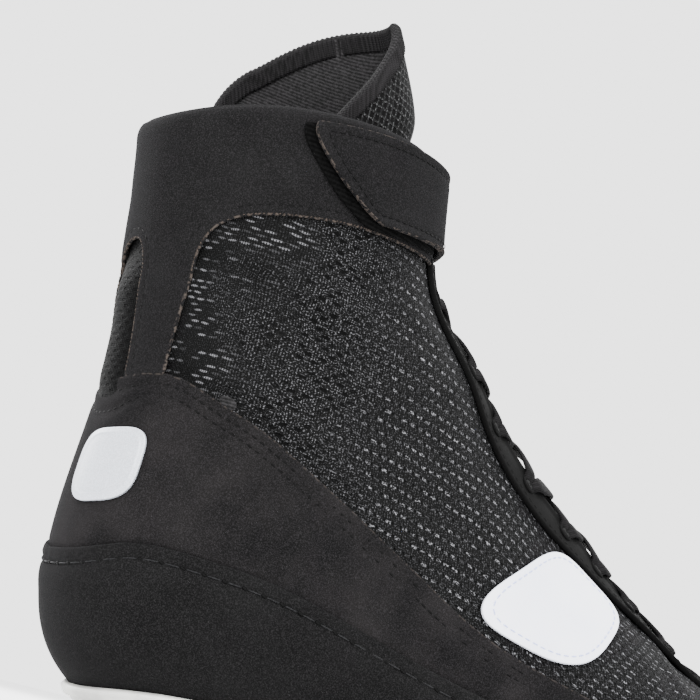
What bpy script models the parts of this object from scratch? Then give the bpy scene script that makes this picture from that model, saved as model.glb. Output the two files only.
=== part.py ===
"""Right wrestling shoe: a knitted high-top with nubuck overlays, a suede sole wrap and two rubber pads.

Frame: metres, +Z up, +X to the toe, +Y to the medial side. The shoe stands on Z = 0.
The form is a sock of flat sections. They fan out from the toe, where they stand upright, round the
heel to the collar, where they lie level. Every piece is that form, thickened between two offsets.
"""

from collections import namedtuple

import bmesh
import bpy
import numpy as np
from mathutils import Matrix, Vector

MM = 0.001

# Driving sizes of the form
LENGTH = 284 * MM
BALL_WIDTH = 98 * MM
HEEL_WIDTH = 70 * MM
COLLAR_WIDTH = 63 * MM
COLLAR_LENGTH = 84 * MM
COLLAR_HEIGHT = 160 * MM
INSTEP_HEIGHT = 84 * MM
TOE_HEIGHT = 40 * MM
TOE_SWING = 9 * MM
TONGUE_RISE = 39 * MM

# Walls, layers and the clearance between them
UPPER_WALL = 2.0 * MM
COLLAR_PADDING = 4.6 * MM
RIM_ROLL = 3.2 * MM
SEAT = 0.40 * MM
LOOSE = 0.65 * MM
OVERLAY = 1.1 * MM
WRAP_WALL = 2.0 * MM
PAD_THICKNESS = 4.2 * MM
GROOVE_DEPTH = 0.8 * MM
INSOLE_THICKNESS = 4.0 * MM
TONGUE_WALL = 3.0 * MM
STRAP_WALL = 1.9 * MM
HOOK_WALL = 1.0 * MM
HOOK_BORDER = 2.4 * MM
LACE_WIDTH = 6.0 * MM
LACE_THICKNESS = 1.5 * MM
EYELET_RADIUS = 2.1 * MM
BADGE_WALL = 1.2 * MM
PATCH_WALL = 1.0 * MM
LACE_CROSSING = 1.1 * MM
TONGUE_SET_IN = 2.2 * MM
WELD = 0.02 * MM

# How far the cutters reach past the pieces that they cut
UNDER = 0.1 * LENGTH
CUT_REACH = 12 * MM
SOLE_CUT_LOW = -5 * MM
SOLE_CUT_HIGH = 18 * MM

LACE_ROWS = 9
LOOP_POINTS = 22

# Where the panels begin and end, as places on the form: 0 is the toe tip, 1 the collar's rim
THROAT_START = 0.245
THROAT_HALF = 0.031
SOLE_OPENING_HALF = 0.146
INSOLE_HALF = 0.180
EYESTAY_WIDTH = 0.040
STRAP_LOW = 0.927
STRAP_HIGH = 0.986
STRAP_TIP = 0.225
STRAP_START = -0.225
HOOK_START = 0.110
RIM_SWEEP = 0.016
CUFF_SHARE = 0.88
ROLL_START = 0.955
STAY_CLEAR = 0.004

# Plates as (name, along, around, half along, half around), and pads as (name, first, last, half around)
Plate = namedtuple("Plate", "name along around half_along half_around")
Pad = namedtuple("Pad", "name first last half_around")
BADGE = Plate("heel_badge", 0.760, 0.455, 0.020, 0.046)
PATCHES = (
    Plate("patch_lateral", 0.520, 0.144, 0.068, 0.054),
    Plate("patch_medial", 0.520, -0.144, 0.068, 0.054),
)

Section = namedtuple(
    "Section", "name base_x base_z top_x top_z lateral medial swing widest base_power top_power"
)


def sections():
    """The form's sections from toe to tongue top. Base is the sole line or the back, top the ridge."""
    length, ball, heel = LENGTH, BALL_WIDTH / 2, HEEL_WIDTH / 2
    collar, back, instep, toe = COLLAR_WIDTH / 2, COLLAR_HEIGHT, INSTEP_HEIGHT, TOE_HEIGHT
    front, rise, swing = COLLAR_LENGTH, TONGUE_RISE, TOE_SWING
    rows = (
        ("toe tip", 1.000 * length, 0.66 * toe, 1.000 * length, 0.66 * toe, 0, 0, swing, 0.50, 2.0, 2.0),
        ("toe nose", 0.986 * length, 0.43 * toe, 0.984 * length, 0.89 * toe,
         0.36 * ball, 0.34 * ball, swing, 0.45, 2.1, 2.0),
        ("toe front", 0.955 * length, 0.30 * toe, 0.953 * length, 1.02 * toe,
         0.61 * ball, 0.56 * ball, 0.95 * swing, 0.40, 2.2, 2.0),
        ("toe cap", 0.895 * length, 0.20 * toe, 0.893 * length, 1.13 * toe,
         0.86 * ball, 0.78 * ball, 0.72 * swing, 0.36, 2.3, 2.0),
        ("toes", 0.800 * length, 0.155 * toe, 0.810 * length, 1.23 * toe,
         1.01 * ball, 0.91 * ball, 0.39 * swing, 0.33, 2.4, 2.0),
        ("ball", 0.700 * length, 0.150 * toe, 0.735 * length, 0.615 * instep,
         1.05 * ball, 0.93 * ball, 0.06 * swing, 0.32, 2.5, 2.0),
        ("ball back", 0.590 * length, 0.155 * toe, 0.680 * length, 0.675 * instep,
         1.01 * ball, 0.86 * ball, -0.11 * swing, 0.32, 2.5, 2.0),
        ("waist", 0.460 * length, 0.190 * toe, 0.625 * length, 0.790 * instep,
         0.90 * ball, 0.755 * ball, -0.11 * swing, 0.34, 2.4, 2.0),
        ("arch", 0.325 * length, 0.190 * toe, 0.580 * length, 0.890 * instep,
         1.13 * heel, 0.99 * heel, 0, 0.36, 2.4, 2.0),
        ("heel front", 0.190 * length, 0.155 * toe, 0.541 * length, 0.987 * instep,
         1.05 * heel, 0.98 * heel, 0, 0.38, 2.4, 2.0),
        ("heel floor", 0.103 * length, 0.165 * toe, 0.507 * length, 1.052 * instep,
         1.02 * heel, 0.99 * heel, 0, 0.40, 2.4, 2.1),
        ("heel curve", 0.041 * length, 0.43 * toe, 0.474 * length, 1.119 * instep,
         1.00 * heel, 0.99 * heel, 0, 0.40, 2.4, 2.2),
        ("heel back", 0.014 * length, 0.86 * toe, 0.439 * length, 1.198 * instep,
         0.99 * heel, 0.98 * heel, 0, 0.40, 2.35, 2.25),
        ("counter", 0.011 * length, 0.36 * back, 0.405 * length, 1.286 * instep,
         0.965 * heel, 0.965 * heel, 0, 0.42, 2.3, 2.3),
        ("ankle", 0.017 * length, 0.57 * back, 0.363 * length, 1.421 * instep,
         0.93 * heel, 0.93 * heel, 0, 0.46, 2.2, 2.3),
        ("achilles", 0.008 * length, 0.74 * back, 0.013 * length + front, 1.590 * instep,
         1.02 * collar, 1.02 * collar, 0, 0.49, 2.2, 2.2),
        ("cuff", 0.000 * length, CUFF_SHARE * back, -0.010 * length + front, 1.79 * instep,
         0.99 * collar, 0.99 * collar, 0, 0.5, 2.2, 2.2),
        ("rim", -0.015 * length, 0.985 * back, -0.022 * length + front, 2.02 * instep,
         0.97 * collar, 0.97 * collar, 0, 0.5, 2.2, 2.2),
        ("tongue", -0.045 * length, back + 0.50 * rise, -0.036 * length + front, back + 0.73 * rise,
         0.86 * collar, 0.86 * collar, 0, 0.5, 2.2, 2.2),
        ("tongue top", -0.070 * length, back + 1.00 * rise, -0.074 * length + front, back + 1.26 * rise,
         0.80 * collar, 0.80 * collar, 0, 0.5, 2.2, 2.2),
    )
    return [Section(*row) for row in rows]


def natural_spline(knots, values, at):
    """Natural cubic spline through the rows of values at the knots, read at the places given."""
    count = len(knots)
    gap = np.diff(knots)
    system = np.zeros((count, count))
    right = np.zeros((count, values.shape[1]))
    system[0, 0] = system[-1, -1] = 1
    for i in range(1, count - 1):
        system[i, i - 1 : i + 2] = gap[i - 1], 2 * (gap[i - 1] + gap[i]), gap[i]
    slope = np.diff(values, axis=0) / gap[:, None]
    right[1:-1] = 6 * np.diff(slope, axis=0)
    bend = np.linalg.solve(system, right)
    i = np.clip(np.searchsorted(knots, at, side="right") - 1, 0, count - 2)
    t, step = (at - knots[i])[:, None], gap[i][:, None]
    first, last = values[i], values[i + 1]
    straight = first + t * ((last - first) / step - step * (2 * bend[i] + bend[i + 1]) / 6)
    return straight + t**2 * bend[i] / 2 + t**3 * (bend[i + 1] - bend[i]) / (6 * step)


ROWS = sections()
NUMBERS = np.array([row[1:] for row in ROWS], float)


def section_places():
    """Each section's place along the form, by mean travel of its base and top, with the rim at 1."""
    base = np.hypot(*np.diff(NUMBERS[:, 0:2], axis=0).T)
    top = np.hypot(*np.diff(NUMBERS[:, 2:4], axis=0).T)
    travel = np.concatenate([[0], np.cumsum((base + top) / 2)])
    rim = [row.name for row in ROWS].index("rim")
    return travel / travel[rim]


KNOTS = section_places()
PLACE = {row.name: place for row, place in zip(ROWS, KNOTS)}


def form(along, around):
    """Point of the form. Around is 0 on the ridge, 0.25 lateral, 0.5 on the base and 0.75 medial."""
    along, around = np.broadcast_arrays(np.asarray(along, float), np.asarray(around, float))
    rows = natural_spline(KNOTS, NUMBERS, along.ravel())
    base_x, base_z, top_x, top_z, lateral, medial, swing, widest, base_power, top_power = rows.T
    angle = 2 * np.pi * around.ravel()
    low = np.cos(angle) < 0
    power = 2 / np.where(low, base_power, top_power)
    reach, spread = np.abs(np.cos(angle)) ** power, np.abs(np.sin(angle)) ** power
    height = np.where(low, widest * (1 - reach), widest + (1 - widest) * reach)
    side = np.where(np.sin(angle) > 0, -lateral, medial)
    x = base_x + height * (top_x - base_x)
    z = base_z + height * (top_z - base_z)
    return np.stack([x, swing + side * spread, z], -1).reshape(along.shape + (3,))


def outward(along, around, step=1e-3):
    """Unit normal of the form, pointing out of the shoe."""
    along, around = np.broadcast_arrays(np.asarray(along, float), np.asarray(around, float))
    low = np.maximum(along - step, 2e-3)
    lengthwise = form(low + 2 * step, around) - form(low, around)
    crosswise = form(low + step, around + step) - form(low + step, around - step)
    normal = np.cross(lengthwise, crosswise)
    return normal / np.linalg.norm(normal, axis=-1, keepdims=True)


def smooth(value, low, high):
    """0 below low and 1 above high, with a smooth step between."""
    t = np.clip((value - low) / (high - low), 0, 1)
    return t * t * (3 - 2 * t)


def roll(along):
    """How far the collar's outer face turns inwards towards the rim, as a quarter round."""
    start = 1 - 1.6 * RIM_ROLL / (COLLAR_HEIGHT * (1 - CUFF_SHARE)) * (1 - PLACE["cuff"])
    t = np.clip((along - start) / (1 - start), 0, 1)
    return RIM_ROLL * (1 - np.sqrt(1 - t**2))


def rim_lift(around):
    """The collar's rim stands higher at the ankle bones than at the back and the front."""
    return RIM_SWEEP * np.sin(2 * np.pi * around) ** 2


def lifted(along, around):
    """Carries a level place near the collar up to the rim's curved line."""
    return along + rim_lift(around) * smooth(along, PLACE["ankle"], 1)


def wall(along, around, offset, turned=True):
    """Point at an offset outwards from the form. Turned points follow the rolled rim."""
    along, around = np.broadcast_arrays(np.asarray(along, float), np.asarray(around, float))
    inset = roll(along) if turned else 0
    raised = lifted(along, around)
    return form(raised, around) + outward(raised, around) * (offset - inset)[..., None]


def object_from(name, points, faces, collection):
    """A mesh object with doubles merged and its faces pointing outwards."""
    mesh = bpy.data.meshes.new(name)
    mesh.from_pydata(points.tolist(), [], faces)
    obj = bpy.data.objects.new(name, mesh)
    collection.objects.link(obj)
    tidy(mesh)
    return obj


def tidy(mesh):
    """Welds what meets in a point or a line and turns the faces outwards."""
    work = bmesh.new()
    work.from_mesh(mesh)
    bmesh.ops.remove_doubles(work, verts=work.verts, dist=WELD)
    loose = [edge for edge in work.edges if not edge.link_faces]
    bmesh.ops.delete(work, geom=loose, context="EDGES")
    bmesh.ops.recalc_face_normals(work, faces=work.faces)
    if work.calc_volume(signed=True) < 0:
        bmesh.ops.reverse_faces(work, faces=work.faces)
    work.to_mesh(mesh)
    work.free()


def slab(name, inner, outer, collection, closed=False):
    """The solid between two grids of points. A closed grid joins its last column to its first."""
    rows, columns = outer.shape[:2]
    points = np.concatenate([inner.reshape(-1, 3), outer.reshape(-1, 3)])
    index = np.arange(rows * columns).reshape(rows, columns)
    if closed:
        index = np.hstack([index, index[:, :1]])
    skin = rows * columns
    quads = np.stack([index[:-1, :-1], index[:-1, 1:], index[1:, 1:], index[1:, :-1]], -1).reshape(-1, 4)
    faces = quads.tolist() + (quads[:, ::-1] + skin).tolist()
    borders = [index[0], index[-1][::-1]]
    if not closed:
        borders += [index[::-1, 0], index[:, -1]]
    for border in borders:
        for a, b in zip(border[:-1], border[1:]):
            faces.append([b, a, a + skin, b + skin])
    return object_from(name, points, faces, collection)


def stations():
    """Places of the sections that the skins are drawn through, closest round the toe and the heel."""
    toe = np.linspace(0, PLACE["toe cap"], 6) ** 1.35 / PLACE["toe cap"] ** 0.35
    foot = np.linspace(PLACE["toe cap"], PLACE["heel front"], 9)
    heel = np.linspace(PLACE["heel front"], PLACE["counter"], 8)
    shaft = np.linspace(PLACE["counter"], ROLL_START, 6)
    rim = 1 - (1 - ROLL_START) * np.array([0.55, 0.22, 0.0])
    return np.concatenate([toe, foot[1:], heel[1:], shaft[1:], rim])


STATIONS = stations()
LOOP = np.arange(LOOP_POINTS) / LOOP_POINTS


def skin(name, inner, outer, collection):
    """The form between two offsets: closed at the toe, open at the collar. Offsets are along the form."""
    along, around = np.meshgrid(STATIONS, LOOP, indexing="ij")
    spread = np.ones_like(along)
    low = wall(along, around, inner * spread)
    high = wall(along, around, outer * spread)
    low[0], high[0] = low[0].mean(0), high[0].mean(0)
    return slab(name, low, high, collection, closed=True)


def block(name, along, around, depth, collection):
    """A cutter: the part of the form's neighbourhood over a grid of places, depth either way."""
    spread = np.full_like(along, depth)
    return slab(name, wall(along, around, -spread, False), wall(along, around, spread, False), collection)


def boolean(obj, cutter, operation):
    cut = obj.modifiers.new(cutter.name, "BOOLEAN")
    cut.object = cutter
    cut.operation = operation
    cut.solver = "EXACT"


def curve_through(table, count):
    """Points of a smooth line through the table's (x, z) rows."""
    rows = np.array(table, float)
    travel = np.concatenate([[0], np.cumsum(np.hypot(*np.diff(rows, axis=0).T))])
    return natural_spline(travel, rows, np.linspace(0, travel[-1], count))


def prism(name, outline, low, high, collection, view="side"):
    """An outline drawn from the side, from behind or from above, made solid between two depths."""
    order = {"side": (0, 2, 1), "behind": (2, 0, 1), "above": (0, 1, 2)}[view]
    count = len(outline)
    points = [[(a, b, depth)[i] for i in order] for depth in (low, high) for a, b in outline]
    faces = [list(range(count)), list(range(2 * count - 1, count - 1, -1))]
    faces += [[i, i + count, (i + 1) % count + count, (i + 1) % count] for i in range(count)]
    return object_from(name, np.array(points), faces, collection)


def wrap_line():
    """Upper edge of the sole wrap in side view, from behind the heel to ahead of the toe."""
    table = (
        (-0.060 * LENGTH, 0.240 * COLLAR_HEIGHT),
        (-0.005 * LENGTH, 0.250 * COLLAR_HEIGHT),
        (0.027 * LENGTH, 0.281 * COLLAR_HEIGHT),
        (0.076 * LENGTH, 0.289 * COLLAR_HEIGHT),
        (0.155 * LENGTH, 0.280 * COLLAR_HEIGHT),
        (0.239 * LENGTH, 0.252 * COLLAR_HEIGHT),
        (0.331 * LENGTH, 0.215 * COLLAR_HEIGHT),
        (0.450 * LENGTH, 0.176 * COLLAR_HEIGHT),
        (0.600 * LENGTH, 0.145 * COLLAR_HEIGHT),
        (0.780 * LENGTH, 0.138 * COLLAR_HEIGHT),
        (0.920 * LENGTH, 0.165 * COLLAR_HEIGHT),
        (1.060 * LENGTH, 0.205 * COLLAR_HEIGHT),
    )
    return curve_through(table, 26)


def counter_line():
    """Upper edge of the counter in side view, from behind the heel down to the sole wrap."""
    table = (
        (-0.060 * LENGTH, 0.475 * COLLAR_HEIGHT),
        (-0.010 * LENGTH, 0.492 * COLLAR_HEIGHT),
        (0.010 * LENGTH, 0.546 * COLLAR_HEIGHT),
        (0.035 * LENGTH, 0.564 * COLLAR_HEIGHT),
        (0.071 * LENGTH, 0.542 * COLLAR_HEIGHT),
        (0.113 * LENGTH, 0.515 * COLLAR_HEIGHT),
        (0.162 * LENGTH, 0.477 * COLLAR_HEIGHT),
        (0.212 * LENGTH, 0.438 * COLLAR_HEIGHT),
        (0.264 * LENGTH, 0.396 * COLLAR_HEIGHT),
        (0.316 * LENGTH, 0.354 * COLLAR_HEIGHT),
        (0.373 * LENGTH, 0.307 * COLLAR_HEIGHT),
        (0.430 * LENGTH, 0.272 * COLLAR_HEIGHT),
        (0.482 * LENGTH, 0.250 * COLLAR_HEIGHT),
        (0.580 * LENGTH, 0.208 * COLLAR_HEIGHT),
        (0.720 * LENGTH, 0.120 * COLLAR_HEIGHT),
    )
    return curve_through(table, 30)


def window_outline():
    """The mesh window under the cuff in side view: bounded by the arm behind and the cuff above."""
    table = (
        (0.034 * LENGTH, 0.500 * COLLAR_HEIGHT),
        (0.033 * LENGTH, 0.596 * COLLAR_HEIGHT),
        (0.031 * LENGTH, 0.726 * COLLAR_HEIGHT),
        (0.032 * LENGTH, 0.785 * COLLAR_HEIGHT),
        (0.041 * LENGTH, 0.821 * COLLAR_HEIGHT),
        (0.064 * LENGTH, 0.847 * COLLAR_HEIGHT),
        (0.101 * LENGTH, 0.865 * COLLAR_HEIGHT),
        (0.155 * LENGTH, 0.881 * COLLAR_HEIGHT),
        (0.206 * LENGTH, 0.886 * COLLAR_HEIGHT),
        (0.258 * LENGTH, 0.888 * COLLAR_HEIGHT),
        (0.380 * LENGTH, 0.890 * COLLAR_HEIGHT),
    )
    return curve_through(table, 20)


def achilles_outline():
    """The narrow mesh window at the back of the heel, seen from behind, as (y, z) points."""
    half, low, high = 0.083 * HEEL_WIDTH, 0.40 * COLLAR_HEIGHT, 0.785 * COLLAR_HEIGHT
    turn = np.linspace(0, np.pi, 9)
    arch = [(half * np.cos(t), high - 1.6 * half + 1.6 * half * np.sin(t)) for t in turn]
    return [(-1.35 * half, low), (1.35 * half, low), *arch]


def shifted(line, rise):
    return line + np.array([0, rise])


def below(line, floor):
    """The region under a side-view line."""
    return [*line.tolist(), (line[-1, 0], floor), (line[0, 0], floor)]


def between(low, high):
    """The region between two side-view lines from behind the heel, up to where they nearly meet."""
    x = np.linspace(high[0, 0], high[-1, 0], 200)
    rise = np.interp(x, *high.T) - np.interp(x, *low.T)
    end = x[np.argmax(rise < OVERLAY)] if (rise < OVERLAY).any() else x[-1]
    clear = end - OVERLAY
    top = high[high[:, 0] < clear]
    foot = low[(low[:, 0] < clear) & (low[:, 0] > high[0, 0])]
    corners = [(end, np.interp(end, *high.T)), (end, np.interp(end, *low.T))]
    heel = [(high[0, 0], np.interp(high[0, 0], *low.T))]
    return [*top.tolist(), *corners, *foot[::-1].tolist(), *heel]


def make_upper(parts, tools):
    """Knitted wall with a padded collar, open at collar and throat, and underneath for the sole."""
    along, around = np.meshgrid(STATIONS, LOOP, indexing="ij")
    padding = UPPER_WALL + (COLLAR_PADDING - UPPER_WALL) * smooth(along, PLACE["ankle"], 1)
    low = wall(along, around, -padding, False)
    high = wall(along, around, np.zeros_like(along))
    low[0] = low[0].mean(0)
    high[0] = high[0].mean(0)
    upper = slab("upper", low, high, parts, closed=True)
    boolean(upper, throat_cutter("throat_gap", THROAT_START, 0, tools), "DIFFERENCE")
    boolean(upper, sole_opening(tools), "DIFFERENCE")


def throat_half(along, half):
    """Half width of the throat, opening from its rounded end and widening at the ankle."""
    opening = np.sqrt(np.clip((along - THROAT_START) / 0.05, 0, 1))
    return half * opening * (1 + 0.55 * smooth(along, 0.35, 0.75))


def throat_cutter(name, start, extra, tools):
    """The slot between the eyestays from a start upwards. Extra widens it by a share of the way around."""
    along = np.concatenate([THROAT_START + 0.05 * np.linspace(0, 1, 5) ** 2, np.linspace(0.33, 1.12, 16)])
    along = along[along >= start]
    across = np.linspace(-1, 1, 5)
    grid_along, grid_across = np.meshgrid(along, across, indexing="ij")
    around = grid_across * (throat_half(grid_along, THROAT_HALF) + extra)
    return block(name, grid_along, around, CUT_REACH, tools)


def sole_opening(tools):
    """The opening under the foot, which the sole wrap closes."""
    first, last = PLACE["toe front"] + 0.02, PLACE["heel curve"] - 0.02
    turn = np.linspace(0, 2 * np.pi, 28, endpoint=False)
    along = (first + last) / 2 - (last - first) / 2 * np.cos(turn)
    around = 0.5 + SOLE_OPENING_HALF * np.sign(np.sin(turn)) * np.sqrt(np.abs(np.sin(turn)))
    outline = form(along, around)[:, :2].tolist()
    return prism("sole_opening", outline, SOLE_CUT_LOW, SOLE_CUT_HIGH, tools, "above")


def make_wrap(parts, tools):
    """Suede sole wrap: a moccasin-like cup under the whole foot, up to its stitched edge."""
    wrap = skin("sole_wrap", SEAT, SEAT + WRAP_WALL, parts)
    region = prism("wrap_region", below(wrap_line(), -UNDER), -LENGTH, LENGTH, tools)
    boolean(wrap, region, "INTERSECT")


def make_counter(parts, tools):
    """Nubuck counter and quarters in one, from the wrap's edge up to the double-stitched line."""
    counter = skin("counter", SEAT, SEAT + OVERLAY, parts)
    region = between(shifted(wrap_line(), SEAT), counter_line())
    boolean(counter, prism("counter_region", region, -LENGTH, LENGTH, tools), "INTERSECT")


def make_cuff(parts, tools):
    """Collar panel with two arms that run down beside the heel window to the counter."""
    cuff = skin("collar_cuff", SEAT, SEAT + OVERLAY, parts)
    boolean(cuff, throat_cutter("cuff_gap", PLACE["heel back"], STAY_CLEAR, tools), "DIFFERENCE")
    edge = shifted(counter_line(), SEAT)
    boolean(cuff, prism("cuff_foot", below(edge, -UNDER), -LENGTH, LENGTH, tools), "DIFFERENCE")
    window = window_outline()
    ahead = 1.2 * LENGTH
    corner = [(ahead, window[-1, 1] + 0.10 * COLLAR_HEIGHT), (ahead, -UNDER), (window[0, 0], -UNDER)]
    boolean(cuff, prism("side_window", window.tolist() + corner, -LENGTH, LENGTH, tools), "DIFFERENCE")
    behind = prism("heel_window", achilles_outline(), -0.2 * LENGTH, 0.1 * LENGTH, tools, "behind")
    boolean(cuff, behind, "DIFFERENCE")


def make_toe_cap(parts, tools):
    """Plain nubuck cap over the toes, above the wrap's edge."""
    cap = skin("toe_cap", SEAT, SEAT + OVERLAY, parts)
    foot = below(shifted(wrap_line(), SEAT), -UNDER)
    boolean(cap, prism("cap_foot", foot, -LENGTH, LENGTH, tools), "DIFFERENCE")
    back = curve_through(
        (
            (0.760 * LENGTH, -0.20 * TOE_HEIGHT),
            (0.800 * LENGTH, 0.55 * TOE_HEIGHT),
            (0.870 * LENGTH, 0.95 * TOE_HEIGHT),
            (0.880 * LENGTH, 1.50 * TOE_HEIGHT),
        ),
        12,
    )
    outline = back.tolist() + [(1.2 * LENGTH, 1.5 * TOE_HEIGHT), (1.2 * LENGTH, -0.2 * TOE_HEIGHT)]
    boolean(cap, prism("cap_region", outline, -LENGTH, LENGTH, tools), "INTERSECT")


def patch(name, along, around, inner, outer, parts, turned=True):
    """A piece over a grid of places on the form, between two offsets."""
    spread = np.ones_like(along)
    low = wall(along, around, inner * spread, turned)
    return slab(name, low, wall(along, around, outer * spread, turned), parts)


def make_eyestay(name, side, parts):
    """Folded edge strip beside the throat, with a punched hole for each lace row."""
    along = np.concatenate([np.linspace(THROAT_START + 0.010, 0.31, 3), np.linspace(0.36, 0.890, 14)])
    across = np.linspace(0, 1, 4)
    grid_along, grid_across = np.meshgrid(along, across, indexing="ij")
    edge = throat_half(grid_along, THROAT_HALF) + STAY_CLEAR
    around = side * (edge + EYESTAY_WIDTH * grid_across)
    return patch(name, grid_along, around, LOOSE, LOOSE + OVERLAY, parts)


def lace_places():
    """Places of the lace rows along the throat."""
    return np.linspace(THROAT_START + 0.040, 0.878, LACE_ROWS)


def punch_eyelets(stays, tools):
    """Punches a round eyelet through its stay for each end of each lace row."""
    for side, stay in ((1, stays[0]), (-1, stays[1])):
        work = bmesh.new()
        for place in lace_places():
            around = side * eyelet_around(place)
            centre = Vector(wall(place, around, np.array(0.0)).tolist())
            normal = Vector(outward(np.array(place), np.array(around)).tolist())
            turn = normal.to_track_quat("Z", "Y").to_matrix().to_4x4()
            bmesh.ops.create_cone(
                work, cap_ends=True, segments=6, radius1=EYELET_RADIUS, radius2=EYELET_RADIUS,
                depth=CUT_REACH, matrix=Matrix.Translation(centre) @ turn,
            )
        mesh = bpy.data.meshes.new("eyelets")
        work.to_mesh(mesh)
        work.free()
        tool = bpy.data.objects.new(stay.name + "_eyelets", mesh)
        tools.objects.link(tool)
        boolean(stay, tool, "DIFFERENCE")


def eyelet_around(place):
    """How far around from the ridge an eyelet sits: in the middle of its stay."""
    return throat_half(place, THROAT_HALF) + STAY_CLEAR + 0.5 * EYESTAY_WIDTH


def lace_bar(name, start, end, lift, parts):
    """One flat strand between eyelets, over the stays, rising by lift where two strands cross."""
    steps = np.linspace(0, 1, 6)
    centre_along = start[0] + (end[0] - start[0]) * steps
    centre_around = start[1] + (end[1] - start[1]) * steps
    seat = LOOSE + OVERLAY + LOOSE + lift * np.sin(np.pi * steps) ** 2
    middle = wall(centre_along, centre_around, seat)
    normal = outward(lifted(centre_along, centre_around), centre_around)
    travel = np.gradient(middle, axis=0)
    across = np.cross(normal, travel)
    across /= np.linalg.norm(across, axis=1, keepdims=True)
    half = np.array([-0.5, 0.5])[None, :, None] * LACE_WIDTH
    low = middle[:, None, :] + half * across[:, None, :]
    high = low + LACE_THICKNESS * normal[:, None, :]
    return slab(name, low, high, parts)


def make_laces(parts, tools):
    """Crossed flat laces. The two strands of a crossing are joined, and the rows stay apart."""
    places = lace_places()
    shift = 0.46 * (places[1] - places[0])
    for row, place in enumerate(places[:-1]):
        after = places[row + 1] - shift
        reach, reach_after = eyelet_around(place), eyelet_around(after)
        under = lace_bar(f"lace_{row + 1}", (place, reach), (after, -reach_after), 0, parts)
        over = lace_bar(f"strand_{row + 1}", (place, -reach), (after, reach_after), LACE_CROSSING, tools)
        boolean(under, over, "UNION")


def make_tongue(parts):
    """Padded tongue: wraps the shin under the collar on both sides, with an arched top."""
    across = np.linspace(-1, 1, 13)
    up = np.linspace(0, 1, 16)
    grid_up, grid_across = np.meshgrid(up, across, indexing="ij")
    crest = 0.12
    drop = np.where(
        grid_across < crest,
        (np.abs(crest - grid_across) / (1 + crest)) ** 2.6,
        (np.abs(grid_across - crest) / (1 - crest)) ** 1.6,
    )
    top = 1.0 + (PLACE["tongue top"] - 1.0) * (1 - drop)
    foot = THROAT_START + 0.01
    along = foot + (top - foot) * grid_up
    widening = smooth(along, 0.45, 1.0)
    lateral, medial = 0.055 + 0.190 * widening, 0.055 + 0.265 * widening
    around = grid_across * np.where(grid_across > 0, lateral, medial)
    padding = UPPER_WALL + (COLLAR_PADDING - UPPER_WALL) * smooth(along, PLACE["ankle"], 1)
    set_in = TONGUE_SET_IN * smooth(along, 0.8, 1.0) * (1 - smooth(along, 1.0, 1.045))
    outer = -(padding + 1.5 * LOOSE + set_in)
    taper = 1 - 0.45 * np.abs(grid_across) ** 6
    inner = outer - TONGUE_WALL * taper
    low = wall(along, around, inner, False)
    return slab("tongue", low, wall(along, around, outer, False), parts)


def make_insole(parts):
    """Foam footbed inside the upper. It spans the opening under the foot and rests on the wall round it."""
    first, last = PLACE["toe front"] + 0.01, PLACE["heel curve"] - 0.015
    turn = np.linspace(0, np.pi, 13)
    along = (first + last) / 2 - (last - first) / 2 * np.cos(turn)
    half = INSOLE_HALF * np.sqrt(np.clip(np.sin(turn), 0, 1))
    across = np.linspace(-1, 1, 7)
    grid_along = np.repeat(along[:, None], len(across), 1)
    around = 0.5 + across[None, :] * half[:, None]
    top = -UPPER_WALL - 1.2 * LOOSE
    return patch("insole", grid_along, around, top - INSOLE_THICKNESS, top, parts, False)


def pads():
    """The two pads under the foot, from their first to their last place along the form."""
    heel = Pad("outsole_heel", PLACE["heel front"] - 0.045, PLACE["heel curve"] - 0.018, 0.136)
    forefoot = Pad("outsole_forefoot", PLACE["toe front"] + 0.004, PLACE["ball back"] - 0.005, 0.122)
    return heel, forefoot


def make_pad(pad, parts):
    """Rubber pad under the wrap: an oval dish with ring grooves and a flat foot on the floor."""
    rings = np.array([0.0, 0.22, 0.42, 0.45, 0.53, 0.56, 0.74, 0.77, 0.86, 0.89, 1.0])
    groove = np.array([0, 0, 0, 1, 1, 0, 0, 1, 1, 0, 0])[:, None]
    turn = np.linspace(0, 2 * np.pi, 16, endpoint=False)
    grid_ring, grid_turn = np.meshgrid(rings, turn, indexing="ij")
    middle, reach = (pad.first + pad.last) / 2, (pad.last - pad.first) / 2
    cosine, sine = np.cos(grid_turn), np.sin(grid_turn)
    along = middle + reach * grid_ring * np.sign(cosine) * np.abs(cosine) ** 0.8
    around = 0.5 + pad.half_around * grid_ring * np.sign(sine) * np.abs(sine) ** 0.8
    top = SEAT + WRAP_WALL + LOOSE
    edge = 0.3 * PAD_THICKNESS
    rim = np.clip((1 - grid_ring) / 0.36, 0, 1) ** 0.6
    low = wall(along, around, top + 0 * along, False)
    high = wall(along, around, top + edge + (PAD_THICKNESS - edge) * rim, False)
    high[..., 2] = np.maximum(high[..., 2], 0) + GROOVE_DEPTH * groove
    low[0], high[0] = low[0].mean(0), high[0].mean(0)
    return slab(pad.name, low, high, parts, closed=True)


def make_strap(parts):
    """Hook-and-loop ankle strap: sewn on the medial side, over the front, to a slanted lateral tip."""
    over = SEAT + OVERLAY + SEAT
    layers = (
        ("strap_hook", over, HOOK_WALL, HOOK_START, 8, HOOK_BORDER),
        ("strap", over + HOOK_WALL + LOOSE, STRAP_WALL, STRAP_START, 21, 0),
    )
    for name, inner, thickness, start, count, border in layers:
        sweep, across = np.linspace(0, 1, count), np.linspace(0, 1, 5)
        grid_sweep, grid_across = np.meshgrid(sweep, across, indexing="ij")
        grow = 0.012 * border / HOOK_BORDER
        tip = STRAP_TIP + 0.069 * grid_across**0.85 - 0.010 * grid_across**8 + grow
        around = start + (tip - start) * grid_sweep
        bottom = STRAP_LOW + 0.004 * smooth(0.25 - around, 0.05, 0.20) - 0.4 * grow
        along = bottom + (STRAP_HIGH - bottom) * grid_across
        patch(name, along, around, inner, inner + thickness, parts, False)


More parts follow.
